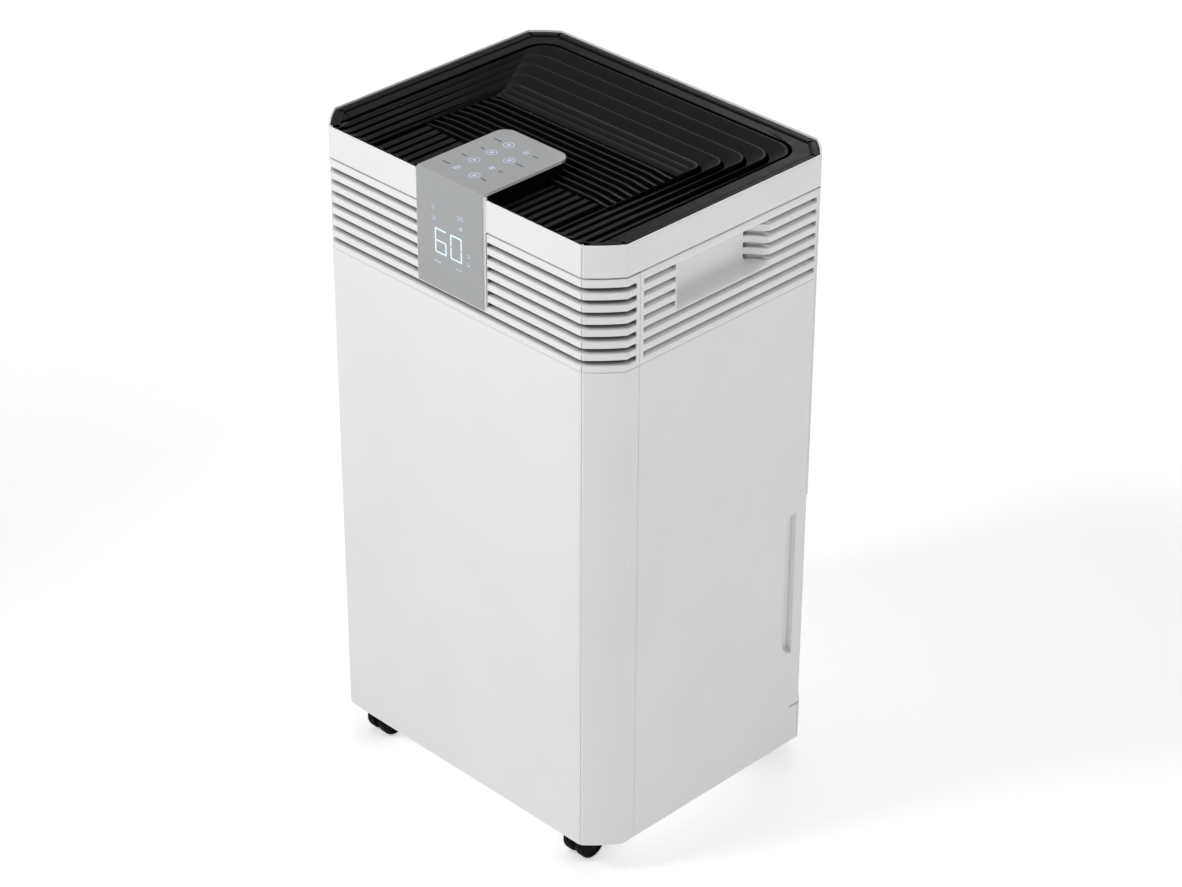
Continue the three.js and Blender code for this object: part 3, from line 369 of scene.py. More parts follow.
def paint_recess_shade(tree, bsdf, color, reach, openness):
    """Painted shade: darker colour deep in slots, seams and corners narrower than reach (mm), set by an
    ambient occlusion node.
    """
    kind = "ShaderNodeAmbientOcclusion"
    occlusion = add_node(tree, kind, Distance=reach * MM, samples=8, only_local=True)
    product = add_node(tree, "ShaderNodeMix", data_type="RGBA", blend_type="MULTIPLY")
    product.inputs[0].default_value = 1.0
    tree.links.new(color, product.inputs[6])
    tree.links.new(ramp(tree, occlusion.outputs["AO"], 0.05, 1.0, *openness), product.inputs[7])
    tree.links.new(product.outputs[2], bsdf.inputs["Base Color"])


def bump(tree, bsdf, source, height):
    node = add_node(tree, "ShaderNodeBump", Distance=height, Strength=1.0)
    tree.links.new(source, node.inputs["Height"])
    tree.links.new(node.outputs["Normal"], bsdf.inputs["Normal"])


def plastic(name, color, roughness, grain=0.00002, grain_scale=1600.0, shade=0.03, ior=1.46, recess=None):
    """Moulded plastic: fine spark-eroded grain, a little uneven gloss and tone.

    recess, when given, paints shade into slots, seams and corners: (reach in mm, how open the deepest and
    the first darkened places are).
    """
    material, tree, bsdf = shader(name, color, roughness, IOR=ior)
    broad = noise(tree, 9.0)
    darker = tuple(c * (1.0 - shade) for c in color)
    tone = vary_color(tree, bsdf, ramp(tree, broad, 0.0, 1.0), color, darker)
    # painted shade in recesses
    if recess:
        paint_recess_shade(tree, bsdf, tone, *recess)
    gloss = noise(tree, 60.0, 3.0)
    tree.links.new(ramp(tree, gloss, roughness - 0.04, roughness + 0.05), bsdf.inputs["Roughness"])
    bump(tree, bsdf, noise(tree, grain_scale, 3.0), grain)
    return material


def metal(name, color, roughness, stretch=(1.0, 1.0, 1.0), scale=900.0):
    """Metal with drawn or rolled marks along the axis that has the small stretch."""
    material, tree, bsdf = shader(name, color, roughness, Metallic=1.0)
    marks = noise(tree, scale, 4.0, stretch)
    tree.links.new(ramp(tree, marks, roughness - 0.08, roughness + 0.12), bsdf.inputs["Roughness"])
    stain = noise(tree, 25.0, 3.0)
    vary_color(tree, bsdf, ramp(tree, stain, 0.0, 1.0), color, tuple(c * 0.8 for c in color))
    bump(tree, bsdf, marks, 0.00003)
    return material


def glow(name, color, strength):
    """A lit sign behind the panel: bright lines over a faintly uneven backlight."""
    lit = {"Emission Color": (*color, 1.0)}
    material, tree, bsdf = shader(name, (0.2, 0.22, 0.25), 0.4, **lit)
    uneven = ramp(tree, noise(tree, 400.0), strength * 0.92, strength * 1.05)
    tree.links.new(uneven, bsdf.inputs["Emission Strength"])
    return material


def circuit_board(name):
    """Green solder mask with a faint pattern of tracks."""
    material, tree, bsdf = shader(name, (0.02, 0.12, 0.06), 0.35)
    tones = {
        "Color1": (0.02, 0.12, 0.06, 1.0),
        "Color2": (0.03, 0.16, 0.08, 1.0),
        "Mortar": (0.05, 0.25, 0.12, 1.0),
    }
    tracks = add_node(tree, "ShaderNodeTexBrick", Scale=220.0, **tones)
    object_space(tree, tracks.inputs["Vector"])
    tree.links.new(tracks.outputs["Color"], bsdf.inputs["Base Color"])
    bump(tree, bsdf, noise(tree, 700.0), 0.00005)
    return material


def filter_mesh(name):
    """Fine woven nylon."""
    material, tree, bsdf = shader(name, (0.05, 0.05, 0.055), 0.6)
    weave = add_node(tree, "ShaderNodeTexChecker", Scale=1400.0)
    object_space(tree, weave.inputs["Vector"])
    vary_color(tree, bsdf, weave.outputs["Fac"], (0.09, 0.09, 0.10), (0.015, 0.015, 0.017))
    bump(tree, bsdf, weave.outputs["Fac"], 0.0001)
    return material


def clear_plastic(name):
    """Smoky clear plastic, milky enough to show against the dark behind it."""
    material, tree, bsdf = shader(name, (0.36, 0.43, 0.47), 0.08, **{"Transmission Weight": 0.25})
    tree.links.new(ramp(tree, noise(tree, 80.0), 0.05, 0.12), bsdf.inputs["Roughness"])
    return material


TONE = (0.82, 0.82, 0.825)
# Satin white with painted shade in seams, slots and corners within 6 mm.
WHITE = plastic("white_satin_plastic", TONE, 0.42, recess=(6.0, (0.05, 0.75)))
# The same white with deeper painted shade reaching 8 mm, for the louvre slots and the groove under the top
# ring.
WHITE_DEEP_SHADE = plastic("white_plastic_deep_painted_shade", TONE, 0.42, recess=(8.0, (0.3, 0.92)))
# The same white with no painted shade.
WHITE_PLAIN = plastic("white_plain_plastic", TONE, 0.42)
# A lighter copy of the white, without painted shade: painted light that keeps the carrier's narrow edges
# bright beside the panel, where the panel shades them.
WHITE_PAINTED_LIGHTER = plastic("white_plastic_painted_lighter", (0.86, 0.86, 0.865), 0.42)
INNER = plastic("inner_plastic", (0.72, 0.73, 0.74), 0.5, 0.00003)
TANK_INNER = plastic("tank_plastic", (0.66, 0.70, 0.73), 0.35)
BLACK = plastic("black_satin_plastic", (0.0035, 0.0035, 0.004), 0.3, 0.00002, 2200.0, 0.2, ior=1.22)
# Near-black matt sheet: painted shade for the dark inside under the top grille.
BLACK_SHADE_SHEET = plastic("black_painted_shade_sheet", (0.004, 0.004, 0.004), 0.8, shade=0.1)
GREY = plastic("panel_satin_grey", (0.36, 0.365, 0.37), 0.36, 0.00001, 3000.0, 0.02)
GREY_EDGE = plastic("panel_cut_edge", (0.8, 0.8, 0.805), 0.4, shade=0.05)
PRINT = plastic("panel_dark_print", (0.045, 0.045, 0.05), 0.4)
RUBBER = plastic("black_rubber", (0.02, 0.02, 0.02), 0.7, 0.00005, 900.0, 0.25)
NYLON = plastic("caster_nylon", (0.004, 0.004, 0.0045), 0.45, shade=0.2, ior=1.15)
TREAD = plastic("caster_tread", (0.005, 0.005, 0.0055), 0.6, shade=0.2, ior=1.15)
FINS = metal("aluminium_fins", (0.78, 0.79, 0.81), 0.32, (1.0, 0.02, 0.02), 2500.0)
COPPER = metal("copper_tube", (0.72, 0.36, 0.22), 0.25, (0.05, 0.05, 1.0))
STEEL = metal("zinc_steel", (0.55, 0.56, 0.58), 0.35)
PAINT = plastic("black_compressor_paint", (0.015, 0.015, 0.017), 0.3, 0.00008, 300.0, 0.3)
BOARD = circuit_board("circuit_board")
MESH = filter_mesh("filter_mesh")
CLEAR = clear_plastic("clear_window")
DIGIT_GLOW = glow("digit_glow", (0.74, 0.92, 1.0), 0.9)
ICON_GLOW = glow("icon_glow", (0.6, 0.74, 1.0), 0.75)
DIM_GLOW = glow("dim_glow", (0.5, 0.64, 0.85), 0.62)

CASING = Skin(WHITE, "casing", "white_plastic")
CASING_DEEP_SHADE = Skin(WHITE_DEEP_SHADE, "casing", "white_plastic")
CASING_PLAIN = Skin(WHITE_PLAIN, "casing", "white_plastic")
CARRIER = Skin(WHITE_PAINTED_LIGHTER, "casing", "white_plastic")
COVER = Skin(WHITE, "tank", "white_plastic")
INTAKE = Skin(WHITE, "intake", "white_plastic")
GRILLE = Skin(BLACK, "casing", "black_plastic")
SHADE_SHEET = Skin(BLACK_SHADE_SHEET, "casing", "black_plastic")
PANEL = Skin(GREY, "casing", "panel_grey")
DIGITS = Skin(DIGIT_GLOW, "casing", "panel_grey")
ICONS = Skin(ICON_GLOW, "casing", "panel_grey")
SIGNS = Skin(DIM_GLOW, "casing", "panel_grey")
LABELS = Skin(PRINT, "casing", "panel_grey")
PLUG = Skin(RUBBER, "drain_plug", "black_rubber")
BUSH = Skin(RUBBER, "casing", "black_rubber")

# ---------------- the casing's outline


def filleted(points):
    """An open polyline of (x, y, corner radius) with its corners rounded."""
    path = []
    for i, (x, y, radius) in enumerate(points):
        here = Vector((x, y))
        if radius == 0.0:
            path.append(here)
            continue
        before = (Vector(points[i - 1][:2]) - here).normalized()
        after = (Vector(points[i + 1][:2]) - here).normalized()
        turn = pi - before.angle(after)
        reach = radius * tan(turn / 2)
        start, end = here + before * reach, here + after * reach
        centre = here + (before + after).normalized() * (radius / cos(turn / 2))
        for t in spread(0.0, 1.0, 6):
            arm = (start - centre).lerp(end - centre, t).normalized() * radius
            path.append(centre + arm)
    return path


def bowed(start, end):
    """Points between a chamfer's two edges, bowed outwards."""
    chord = Vector(end) - Vector(start)
    out = Vector((chord.y, -chord.x)).normalized()
    middle = []
    for t in (0.2, 0.4, 0.6, 0.8):
        place = Vector(start) + chord * t + out * CHAMFER_BOW * 4 * t * (1 - t)
        middle.append((place.x, place.y, 0.0))
    return middle


def half_outline():
    """Stations (distance, place, outward normal) from the front's middle round the right to the back's."""
    front_x, front_y = HALF_WIDTH - FRONT_CHAMFER[0], -HALF_DEPTH + FRONT_CHAMFER[1]
    back_x, back_y = HALF_WIDTH - BACK_CHAMFER[0], HALF_DEPTH - BACK_CHAMFER[1]
    corners = [(0.0, -HALF_DEPTH, 0.0), (front_x, -HALF_DEPTH, 0.8)]
    corners += bowed((front_x, -HALF_DEPTH), (HALF_WIDTH, front_y))
    corners += [(HALF_WIDTH, front_y, 3.6), (HALF_WIDTH, back_y, 3.6)]
    corners += bowed((HALF_WIDTH, back_y), (back_x, HALF_DEPTH))
    corners += [(back_x, HALF_DEPTH, 3.0), (0.0, HALF_DEPTH, 0.0)]
    path = filleted(corners)
    stations = []
    distance = 0.0
    for i, place in enumerate(path):
        before = path[i - 1] if i else place - Vector((1.0, 0.0))
        after = path[i + 1] if i < len(path) - 1 else place + Vector((-1.0, 0.0))
        if i:
            distance += (place - before).length
        tangent = ((place - before).normalized() + (after - place).normalized()).normalized()
        stations.append((distance, place, Vector((tangent.y, -tangent.x))))
    return stations


STATIONS = half_outline()
HALF_LENGTH = STATIONS[-1][0]


def at(distance, inset=0.0):
    """(x, y) on the outline at a distance from the front's middle, negative on the left."""
    side = -1.0 if distance < 0 else 1.0
    distance = min(abs(distance), HALF_LENGTH)
    low = max(i for i, station in enumerate(STATIONS[:-1]) if station[0] <= distance)
    (d0, p0, n0), (d1, p1, n1) = STATIONS[low : low + 2]
    t = (distance - d0) / max(d1 - d0, 1e-9)
    place = p0.lerp(p1, t) - n0.lerp(n1, t).normalized() * inset
    return side * place.x, place.y


def at_y(y):
    """The distance at which the right half of the outline reaches y."""
    low, high = 0.0, HALF_LENGTH
    for _ in range(50):
        middle = (low + high) / 2
        if at(middle)[1] >= y:
            high = middle
        else:
            low = middle
    return high


FRONT_EDGE = HALF_WIDTH - FRONT_CHAMFER[0]  # the front face ends here, where the chamfer starts
FRONT_END = at_y(FRONT_SEAM_Y) - SEAM_GAP / 2  # of the front pieces, at their seam with the sides
BACK_SEAM = at_y(BACK_SEAM_Y)
SLOT_END = at_y(SLOT_END_Y)


def crease(distance):
    """Depth of the fine line down the front edge of a front chamfer."""
    past = abs(distance) - FRONT_EDGE
    for (start, depth), (end, next_depth) in zip(CREASE, CREASE[1:]):
        if start <= past <= end:
            return mix(depth, next_depth, (past - start) / (end - start))
    return 0.0


def on_casing(distance, z, inset):
    return (*at(distance, inset + crease(distance)), z)


def flat(places):
    """Places of a sheet that lie in its face, as (place, inset)."""
    return [(place, 0.0) for place in places]


def edge_steps(start, end, lip):
    """Rounded edge at start and end of a sheet, with a lip that turns in: (place, inset) pairs."""
    way = 1.0 if end > start else -1.0
    bend, face = way * EDGE_MIDDLE, way * EDGE
    first = [(start, lip), (start, EDGE), (start + bend, EDGE_MIDDLE), (start + face, 0.0)]
    last = [(end - face, 0.0), (end - bend, EDGE_MIDDLE), (end, EDGE), (end, lip)]
    return first, last


def tucked_steps(start, end, depth=TUCK):
    """Like edge_steps, but each end goes on behind the neighbouring piece, so no gap shows through."""
    way = 1.0 if end > start else -1.0
    first, last = edge_steps(start, end, depth)
    return [(start - way * 1.5, depth), *first], [*last, (end + way * 1.5, depth)]


def edged(start, end, middles, lip=WALL):
    """A sheet's (place, inset) pairs from one rounded edge to the other."""
    first, last = edge_steps(start, end, lip)
    return first + flat(middles) + last


def columns_between(start, end, extra=()):
    """Places along the outline from start to end: every corner point, the extras, and even steps."""
    corners = [station[0] for station in STATIONS] + [FRONT_EDGE + past for past, _ in CREASE]
    wanted = {start, end, *extra, *corners, *(-c for c in corners)}
    ordered = sorted(w for w in wanted if start <= w <= end)
    places = [ordered[0]]
    for value in ordered[1:]:
        if value - places[-1] < 0.02:
            continue
        steps = max(1, ceil((value - places[-1]) / COLUMN_STEP))
        places += spread(places[-1], value, steps)[1:]
    return places


def front_shell():
    """The plain front under the belt, round both front chamfers."""
    left, right = tucked_steps(-FRONT_END, FRONT_END)
    columns = left + flat(columns_between(0.5 - FRONT_END, FRONT_END - 0.5)) + right
    rows = edged(0.0, SHELL_TOP, spread(0.6, SHELL_TOP - 0.6, 8))
    new_object("front_shell", *sheet(columns, rows, on_casing), CASING, ["front_panel"])


# ---------------- louvres

# One slot from its top edge down: (distance below the edge, share of the depth). The upper bar
# overhangs a dark gap, and the face below slopes out to the lower bar.
SLOT_PROFILE = [(-0.45, 0.0), (-0.12, 0.03), (0.0, 0.1), (0.05, 1.0), (2.2, 1.0), (2.9, 0.82)]
SLOT_PROFILE += [(3.7, 0.55), (4.5, 0.25), (5.1, 0.09), (5.5, 0.012), (SLOT_SPAN, 0.0)]

# The pocket's floor from its back wall out to the side: (share of the depth, drop below the last slot).
FLOOR_PROFILE = [(1.0 - POCKET_FILLET / POCKET_DEPTH, 0.03), (0.5, 0.25), (0.36, 0.6), (0.24, 1.1)]
FLOOR_PROFILE += [(0.14, 1.9), (0.07, 2.8), (0.02, 3.9), (0.0, 5.0)]

NO_SLOT = -1
Row = namedtuple("Row", "z slot below share floor", defaults=(NO_SLOT, 0.0, 0.0, 0.0))


def slot_rows():
    """Rows of a belt from its top edge to its bottom edge, as (row, inset)."""
    above = tucked_steps(BELT_TOP - RING_GAP, BELT_BOTTOM, RING_GROOVE)[0]
    under = tucked_steps(BELT_TOP, BELT_BOTTOM + SEAM_GAP)[1]
    rows = [(Row(z), inset) for z, inset in above]
    for slot in range(SLOT_COUNT):
        top = SLOT_TOP - slot * SLOT_PITCH
        rows += flat(Row(top - below, slot, below, share) for below, share in SLOT_PROFILE)
        if slot == POCKET_SLOTS - 1:
            rows += flat(Row(top - SLOT_SPAN - drop, floor=floor) for floor, drop in FLOOR_PROFILE)
    return rows + [(Row(z), inset) for z, inset in under]


def slot_end(place, start, end):
    """(share of the depth, how far the corner rounding closes the slot in) at a place along it."""
    inside = min(place - start, end - place)
    if inside <= 0.0:
        return 0.0, 0.0
    closing = 0.0
    if inside < SLOT_RADIUS:
        closing = SLOT_RADIUS - sqrt(SLOT_RADIUS**2 - (SLOT_RADIUS - inside) ** 2)
    return min(1.0, inside / 0.12), closing


def end_columns(place, way):
    """Column places for a slot's end; way is the direction into the slot."""
    return [place + way * d for d in (-0.25, 0.0, 0.12, 0.4, 0.8, 1.3)]


def slotted(row, inset, place, start, end):
    """(height, inset) of a belt's point; the corner rounding moves it towards the slot's middle."""
    if row.slot == NO_SLOT:
        return row.z, inset
    depth, closing = slot_end(place, start, end)
    middle = SLOT_TOP - row.slot * SLOT_PITCH - SLOT_HEIGHT / 2
    height = middle + (row.z - middle) * (1.0 - closing / (SLOT_HEIGHT / 2 + 0.5))
    return height, max(inset, row.share * SLOT_DEPTH * depth)


def front_belt():
    """The louvres of the front, open behind the touch panel except for the lowest slot."""
    rows = slot_rows()
    extra = []
    for side in (-1, 1):
        extra += end_columns(side * PANEL_SLOT_X, side) + end_columns(side * SLOT_END, -side)
    left, right = tucked_steps(-FRONT_END, FRONT_END)
    columns = left + flat(columns_between(0.6 - FRONT_END, FRONT_END - 0.6, extra)) + right

    def point(c, row, inset):
        start = -1.0 if row.slot == SLOT_COUNT - 1 else PANEL_SLOT_X
        return on_casing(c, *slotted(row, inset, abs(c), start, SLOT_END))

    def behind_panel(c, r):
        return abs(columns[c][0]) < PANEL_HALF_WIDTH - 2 and rows[r + 1][0].z > PANEL_BOTTOM + 2

    belt = sheet(columns, rows, point, behind_panel)
    new_object("front_belt", *belt, CASING_DEEP_SHADE, ["front_louvres"])


def pocket_depth(y):
    front, flat_end, rear = POCKET_Y
    if y < front or y > rear:
        return 0.0
    return POCKET_DEPTH * (1.0 - smoothstep((y - flat_end) / (rear - flat_end)))


def pocket_inset(y, row):
    """Inset of a pocket column: the flat back, then bars with deep openings that sweep out to the side."""
    depth = pocket_depth(y)
    if row.slot == NO_SLOT:
        return depth * row.floor
    if row.slot == 0 and row.below <= 0.0:
        return row.share * SLOT_DEPTH
    up = min(row.z - POCKET_FLOOR, POCKET_FILLET)
    fillet = POCKET_FILLET - sqrt(POCKET_FILLET**2 - (POCKET_FILLET - up) ** 2)
    depth *= 1.0 - fillet / POCKET_DEPTH
    if y < POCKET_SLOT_START:
        return depth
    opening = POCKET_OPENING if 0.0 < row.below < 5.2 else 0.0
    return depth + mix(opening, row.share * SLOT_DEPTH, smoothstep((y - POCKET_SLOT_CHANGE) / 4.0))


def side_belt(side):
    """The louvres of one side, with the hand pocket in the upper four."""
    name = "right" if side > 0 else "left"
    front, flat_end, rear = POCKET_Y
    low, high = SIDE_SLOTS_Y
    post = front - POCKET_POST
    places = {SIDE_START + 0.7, BACK_SEAM_Y - 0.7, *end_columns(low, 1), *end_columns(high, -1)}
    places |= {*spread(low + 2, front - 4, 4), *end_columns(post, -1)}
    places |= {front - 0.35, front - 0.1, front - 0.001, front + 0.001, *spread(front + 4, flat_end, 9)}
    places |= {POCKET_SLOT_START - 0.01, POCKET_SLOT_START + 0.01, *spread(flat_end, rear + 1, 30)}
    places |= {*spread(rear + 1, high - 2, 5)}
    first = edge_steps(SIDE_START, BACK_SEAM_Y, WALL)[0]
    columns = first + flat(sorted(places)) + tucked_steps(SIDE_START, BACK_SEAM_Y)[1]

    def point(y, row, inset):
        beside_pocket = row.slot < POCKET_SLOTS
        if beside_pocket and pocket_depth(y) > 0.0 and inset == 0.0:
            z, inset = row.z, pocket_inset(y, row)
        else:
            z, inset = slotted(row, inset, y, low, post if beside_pocket and y <= front else high)
        return (side * (HALF_WIDTH - inset), y, z)

    nodes = [f"side_louvres_{name}", f"handle_cup_{name}"]
    new_object(f"side_belt_{name}", *sheet(columns, slot_rows(), point), CASING, nodes)


# ---------------- plain shells


def scoop_start(z):
    """Where the finger scoop beside the tank's edge starts at a height; its ends are rounded."""
    y0, y1 = SCOOP_Y
    nearest = min(z - SCOOP_Z[0], SCOOP_Z[1] - z)
    into_end = 1.0 - min(1.0, max(0.0, nearest / SCOOP_END))
    return y1 - (y1 - y0) * sqrt(max(0.004, 1.0 - into_end**2))


def scoop_depth(y, z):
    """Depth of the scoop: steep at the front, flattening to the rear."""
    start = scoop_start(z)
    nearest = min(z - SCOOP_Z[0], SCOOP_Z[1] - z)
    if nearest <= 0.0 or y <= start:
        return 0.0
    wall = sin(min(1.0, (y - start) / SCOOP_WALL) * pi / 2) ** 0.8
    return SCOOP_DEPTH * wall * smoothstep(nearest / 3.0 + 0.2)


def scoop_column(y, z):
    """A column of the side, moved so that it follows the scoop's curved front edge."""
    first, last = SCOOP_Y[0], SCOOP_Y[1] - SEAM_OVERLAP
    if y <= first or y >= last:
        return y
    return mix(scoop_start(z), last, (y - first) / (last - first))


def side_panel(side):
    """The side under the belt, with the scoop, cut back round the tank's cover."""
    name = "right" if side > 0 else "left"

    def on_side(y, z, inset):
        return (side * (HALF_WIDTH - inset), y, z)

    tank = TANK_SEAM_Y - SEAM_GAP
    places = {*spread(SIDE_START + 0.8, SCOOP_Y[0] - 1, 14), *spread(SCOOP_Y[0] - 1, tank - 0.5, 28)}
    columns = edge_steps(SIDE_START, tank, WALL)[0] + flat(sorted(places))
    columns += [(tank - EDGE_MIDDLE, EDGE_MIDDLE), (tank, EDGE), (tank, WALL)]
    z0, z1 = SCOOP_Z
    heights = {*spread(0.6, z0 - 6, 6), *spread(z0 - 2, z0 + 20, 30), *spread(z0 + 20, z1 - 20, 12)}
    heights |= {*spread(z1 - 20, z1 + 2, 30), *spread(z1 + 8, SHELL_TOP - 0.6, 10)}
    rows = edged(0.0, SHELL_TOP, sorted(heights))
    verts = []
    for z, row_edge in rows:
        for column, column_edge in columns:
            y = scoop_column(column, z)
            dent = scoop_depth(min(y, tank - 0.3), z)
            verts.append(on_side(y, z, max(row_edge, dent + column_edge)))
    faces = grid_faces(len(columns), len(rows))
    strip_columns = flat([tank - SEAM_OVERLAP, tank + 4.0]) + edge_steps(tank, BACK_SEAM_Y, WALL)[1]
    for z0, z1 in ((0.0, DECK_TOP + SEAM_GAP), (TANK_TOP + 0.5, SHELL_TOP)):
        strip_rows = edged(z0, z1, spread(z0 + 0.6, z1 - 0.6, 4))
        strip_verts, strip_faces = sheet(strip_columns, strip_rows, on_side)
        faces += [tuple(i + len(verts) for i in face) for face in strip_faces]
        verts += strip_verts
    new_object(f"side_shell_{name}", verts, faces, CASING_PLAIN, [f"side_panel_{name}"])


def round_columns(start, extra=()):
    """Places from start on the right, round the back, to the same place on the left."""
    right = columns_between(start, HALF_LENGTH, extra)
    return right + [-c for c in reversed(right[:-1])]


def swept(name, columns, profile, skin, nodes):
    """A profile of (inset, z) pairs swept along the outline; inset may depend on the place."""
    verts = []
    for inset, z in profile:
        verts += [on_casing(c, z, inset(c) if callable(inset) else inset) for c in columns]
    faces = grid_faces(len(columns), len(profile))
    return new_object(name, verts, faces, skin, nodes)


def top_ring():
    """The white ring round the top, with the skirt that shows in the groove below it."""
    foot = BELT_TOP + RING_GAP
    profile = [(4.9, foot - 6.3), (2.6, foot - 6.3), (2.6, foot - 0.1), (2.4, foot), (0.5, foot)]
    profile += [(0.14, foot + 0.15), (0.0, foot + 0.5)]
    profile += [(0.0, z) for z in spread(foot + 5.0, FRAME_TOP - 5.0, 3)]
    profile += [(0.0, FRAME_TOP - 0.9), (0.1, FRAME_TOP - 0.45), (0.35, FRAME_TOP - 0.12)]
    profile += [(0.7, FRAME_TOP), (1.35, FRAME_TOP), (1.7, FRAME_TOP - 0.2), (1.8, FRAME_TOP - 0.6)]
    profile += [(1.8, FRAME_TOP - 11.0), (6.0, FRAME_TOP - 11.0)]
    swept("top_ring", round_columns(CARRIER_HALF_WIDTH - 0.2), profile, CASING_DEEP_SHADE, ["top_frame"])


def windowed(name, columns, rows, half_width, heights, y, depth, skin, nodes):
    """A piece of the back with an opening in it, whose four walls go in from y."""
    edge = HALF_LENGTH - half_width - 0.01
    low, high = heights

    def in_window(c, r):
        inside = min(abs(columns[c][0]), abs(columns[c + 1][0])) >= edge
        return inside and low - 0.01 <= rows[r][0] < high - 0.01

    verts, faces = sheet(columns, rows, on_casing, in_window)
    base = len(verts)
    corners = [(-half_width, low), (half_width, low), (half_width, high), (-half_width, high)]
    for inset in (0.0, depth):
        verts += [(x, y - inset, z) for x, z in corners]
    faces += [(base + i, base + (i + 1) % 4, base + 4 + (i + 1) % 4, base + 4 + i) for i in range(4)]
    new_object(name, verts, faces, skin, nodes)


def back_shell():
    """The back under the top ring, with the window for the air intake."""
    start = BACK_SEAM + SEAM_GAP
    middle = columns_between(start + 0.6, HALF_LENGTH, [HALF_LENGTH - INTAKE_HALF_WIDTH])
    columns = mirrored(edge_steps(start, HALF_LENGTH, WALL)[0] + flat(middle))
    low, high = TANK_TOP + 0.7, BELT_TOP - RING_GAP
    rows = edged(low, high, (low + 0.6, *INTAKE_Z, high - 0.6))
    half, heights = INTAKE_HALF_WIDTH, INTAKE_Z
    windowed("back_shell", columns, rows, half, heights, HALF_DEPTH, WALL, CASING, ["back_cover"])


def drain_boss():
    """The ring round the drain plug."""
    profile = [(7.4, 124.0), (10.5, 124.0), (10.5, 146.2), (10.2, 146.5), (9.5, 146.5), (9.3, 146.2)]
    profile += [(9.3, 143.1), (7.4, 143.0), (7.4, 124.0)]
    turned("drain_boss", profile, (-PORT_X, PORT_Z), "y", CASING, caps=False)


def tank_face():
    """The tank's outer cover, whose side edges turn in behind the scoops."""
    start = at_y(TANK_SEAM_Y) + 0.1
    steps = [(0.0, 9.0), (0.0, 0.5), (0.14, 0.14), (0.5, 0.0)]
    places = columns_between(start + 0.8, HALF_LENGTH, [HALF_LENGTH - LEVEL_HALF_WIDTH])
    half = [(start + c, COVER_INSET + inset) for c, inset in steps] + [(c, COVER_INSET) for c in places]
    middles = (TANK_BOTTOM + 0.6, *LEVEL_Z, TANK_TOP - 0.6)
    rows = [(z, COVER_INSET + inset) for z, inset in edged(TANK_BOTTOM, TANK_TOP, middles, TANK_WALL)]
    width, y = LEVEL_HALF_WIDTH, HALF_DEPTH - COVER_INSET
    windowed("tank_face", mirrored(half), rows, width, LEVEL_Z, y, TANK_WALL, COVER, ["tank_cover"])


# ---------------- black grille on the top


def rim_width(c):
    """Inset of the rim's inner edge: wide at the sides, back and chamfers, narrow at the front."""
    return HALF_DEPTH + FIELD_FRONT if abs(c) < RIM_STEP_X else RIM_INSET


def top_rim():
    def inner(extra):
        return lambda c: rim_width(c) + extra

    profile = [(1.9, 612.0), (1.9, BODY_TOP - 0.5), (2.0, BODY_TOP - 0.15), (2.3, BODY_TOP)]
    profile += [(inner(-0.5), BODY_TOP), (inner(-0.15), BODY_TOP - 0.12), (inner(0.0), BODY_TOP - 0.5)]
    profile += [(inner(0.0), FIELD_BOTTOM - 4)]
    columns = round_columns(CARRIER_HALF_WIDTH + SEAM_GAP, [RIM_STEP_X - 0.01, RIM_STEP_X + 0.01])
    swept("top_rim", columns, profile, GRILLE, ["top_grille"])


def rim_front_y(x):
    """Where the field inside the rim starts at the front."""
    if abs(x) <= RIM_STEP_X:
        return FIELD_FRONT
    inner_corner_x = FRONT_EDGE - RIM_INSET * 0.45
    slope = FRONT_CHAMFER[1] / FRONT_CHAMFER[0]
    return -HALF_DEPTH + RIM_INSET + max(0.0, abs(x) - inner_corner_x) * slope


def front_stretch(rim_y):
    """Fine steps from a blade's front end, which is under the rim."""
    length, count = FRONT_STEPS
    return spread(rim_y - BLADE_START, rim_y - BLADE_START + length, count)


def u_curve(half, back, radius):
    """Points of a U open to the front: right side, round corner, back to the middle."""
    ends = front_stretch(rim_front_y(half))
    straight = back - radius
    points = [(half, y) for y in ends + spread(ends[-1], straight, SIDE_STEPS)[1:]]
    for angle in spread(0.0, pi / 2, 12)[1:]:
        points.append((half - radius + radius * cos(angle), straight + radius * sin(angle)))
    return points + [(x, back) for x in spread(half - radius, 0.0, 4)[1:]]


# Across a blade from its crest: (share of the width, height above the crest, share of the fall).
BLADE_PROFILE = [(0.0, -7.0, 0.0), (0.0, -0.5, 0.0), (0.03, -0.15, 0.0), (0.1, 0.0, 0.0)]
BLADE_PROFILE += [(0.16, 0.0, 0.03), (0.93, 0.0, 1.0), (1.0, -0.35, 1.0), (1.0, -5.5, 1.0)]
# The innermost blade is broad at the back and carries two faint grooves.
GROOVES = [(0.34, 0.0, 0.26), (0.38, -0.45, 0.28), (0.43, 0.0, 0.31)]
GROOVES += [(0.64, 0.0, 0.62), (0.68, -0.45, 0.64), (0.73, 0.0, 0.67)]


def blade_height(top, rise, slope, width, y, start):
    """Height of a blade's point. The face falls little on narrow blades, and rises to the rim at start."""
    z = top + rise - BLADE_FALL * min(1.0, width / BLADE_WIDTH_Y) ** 2 * slope
    if rise < BLADE_FOOT:
        return z
    lift = smoothstep(1.0 - (y - start) / FRONT_CURVE)
    return mix(z, BODY_TOP - 0.7 + rise, lift)


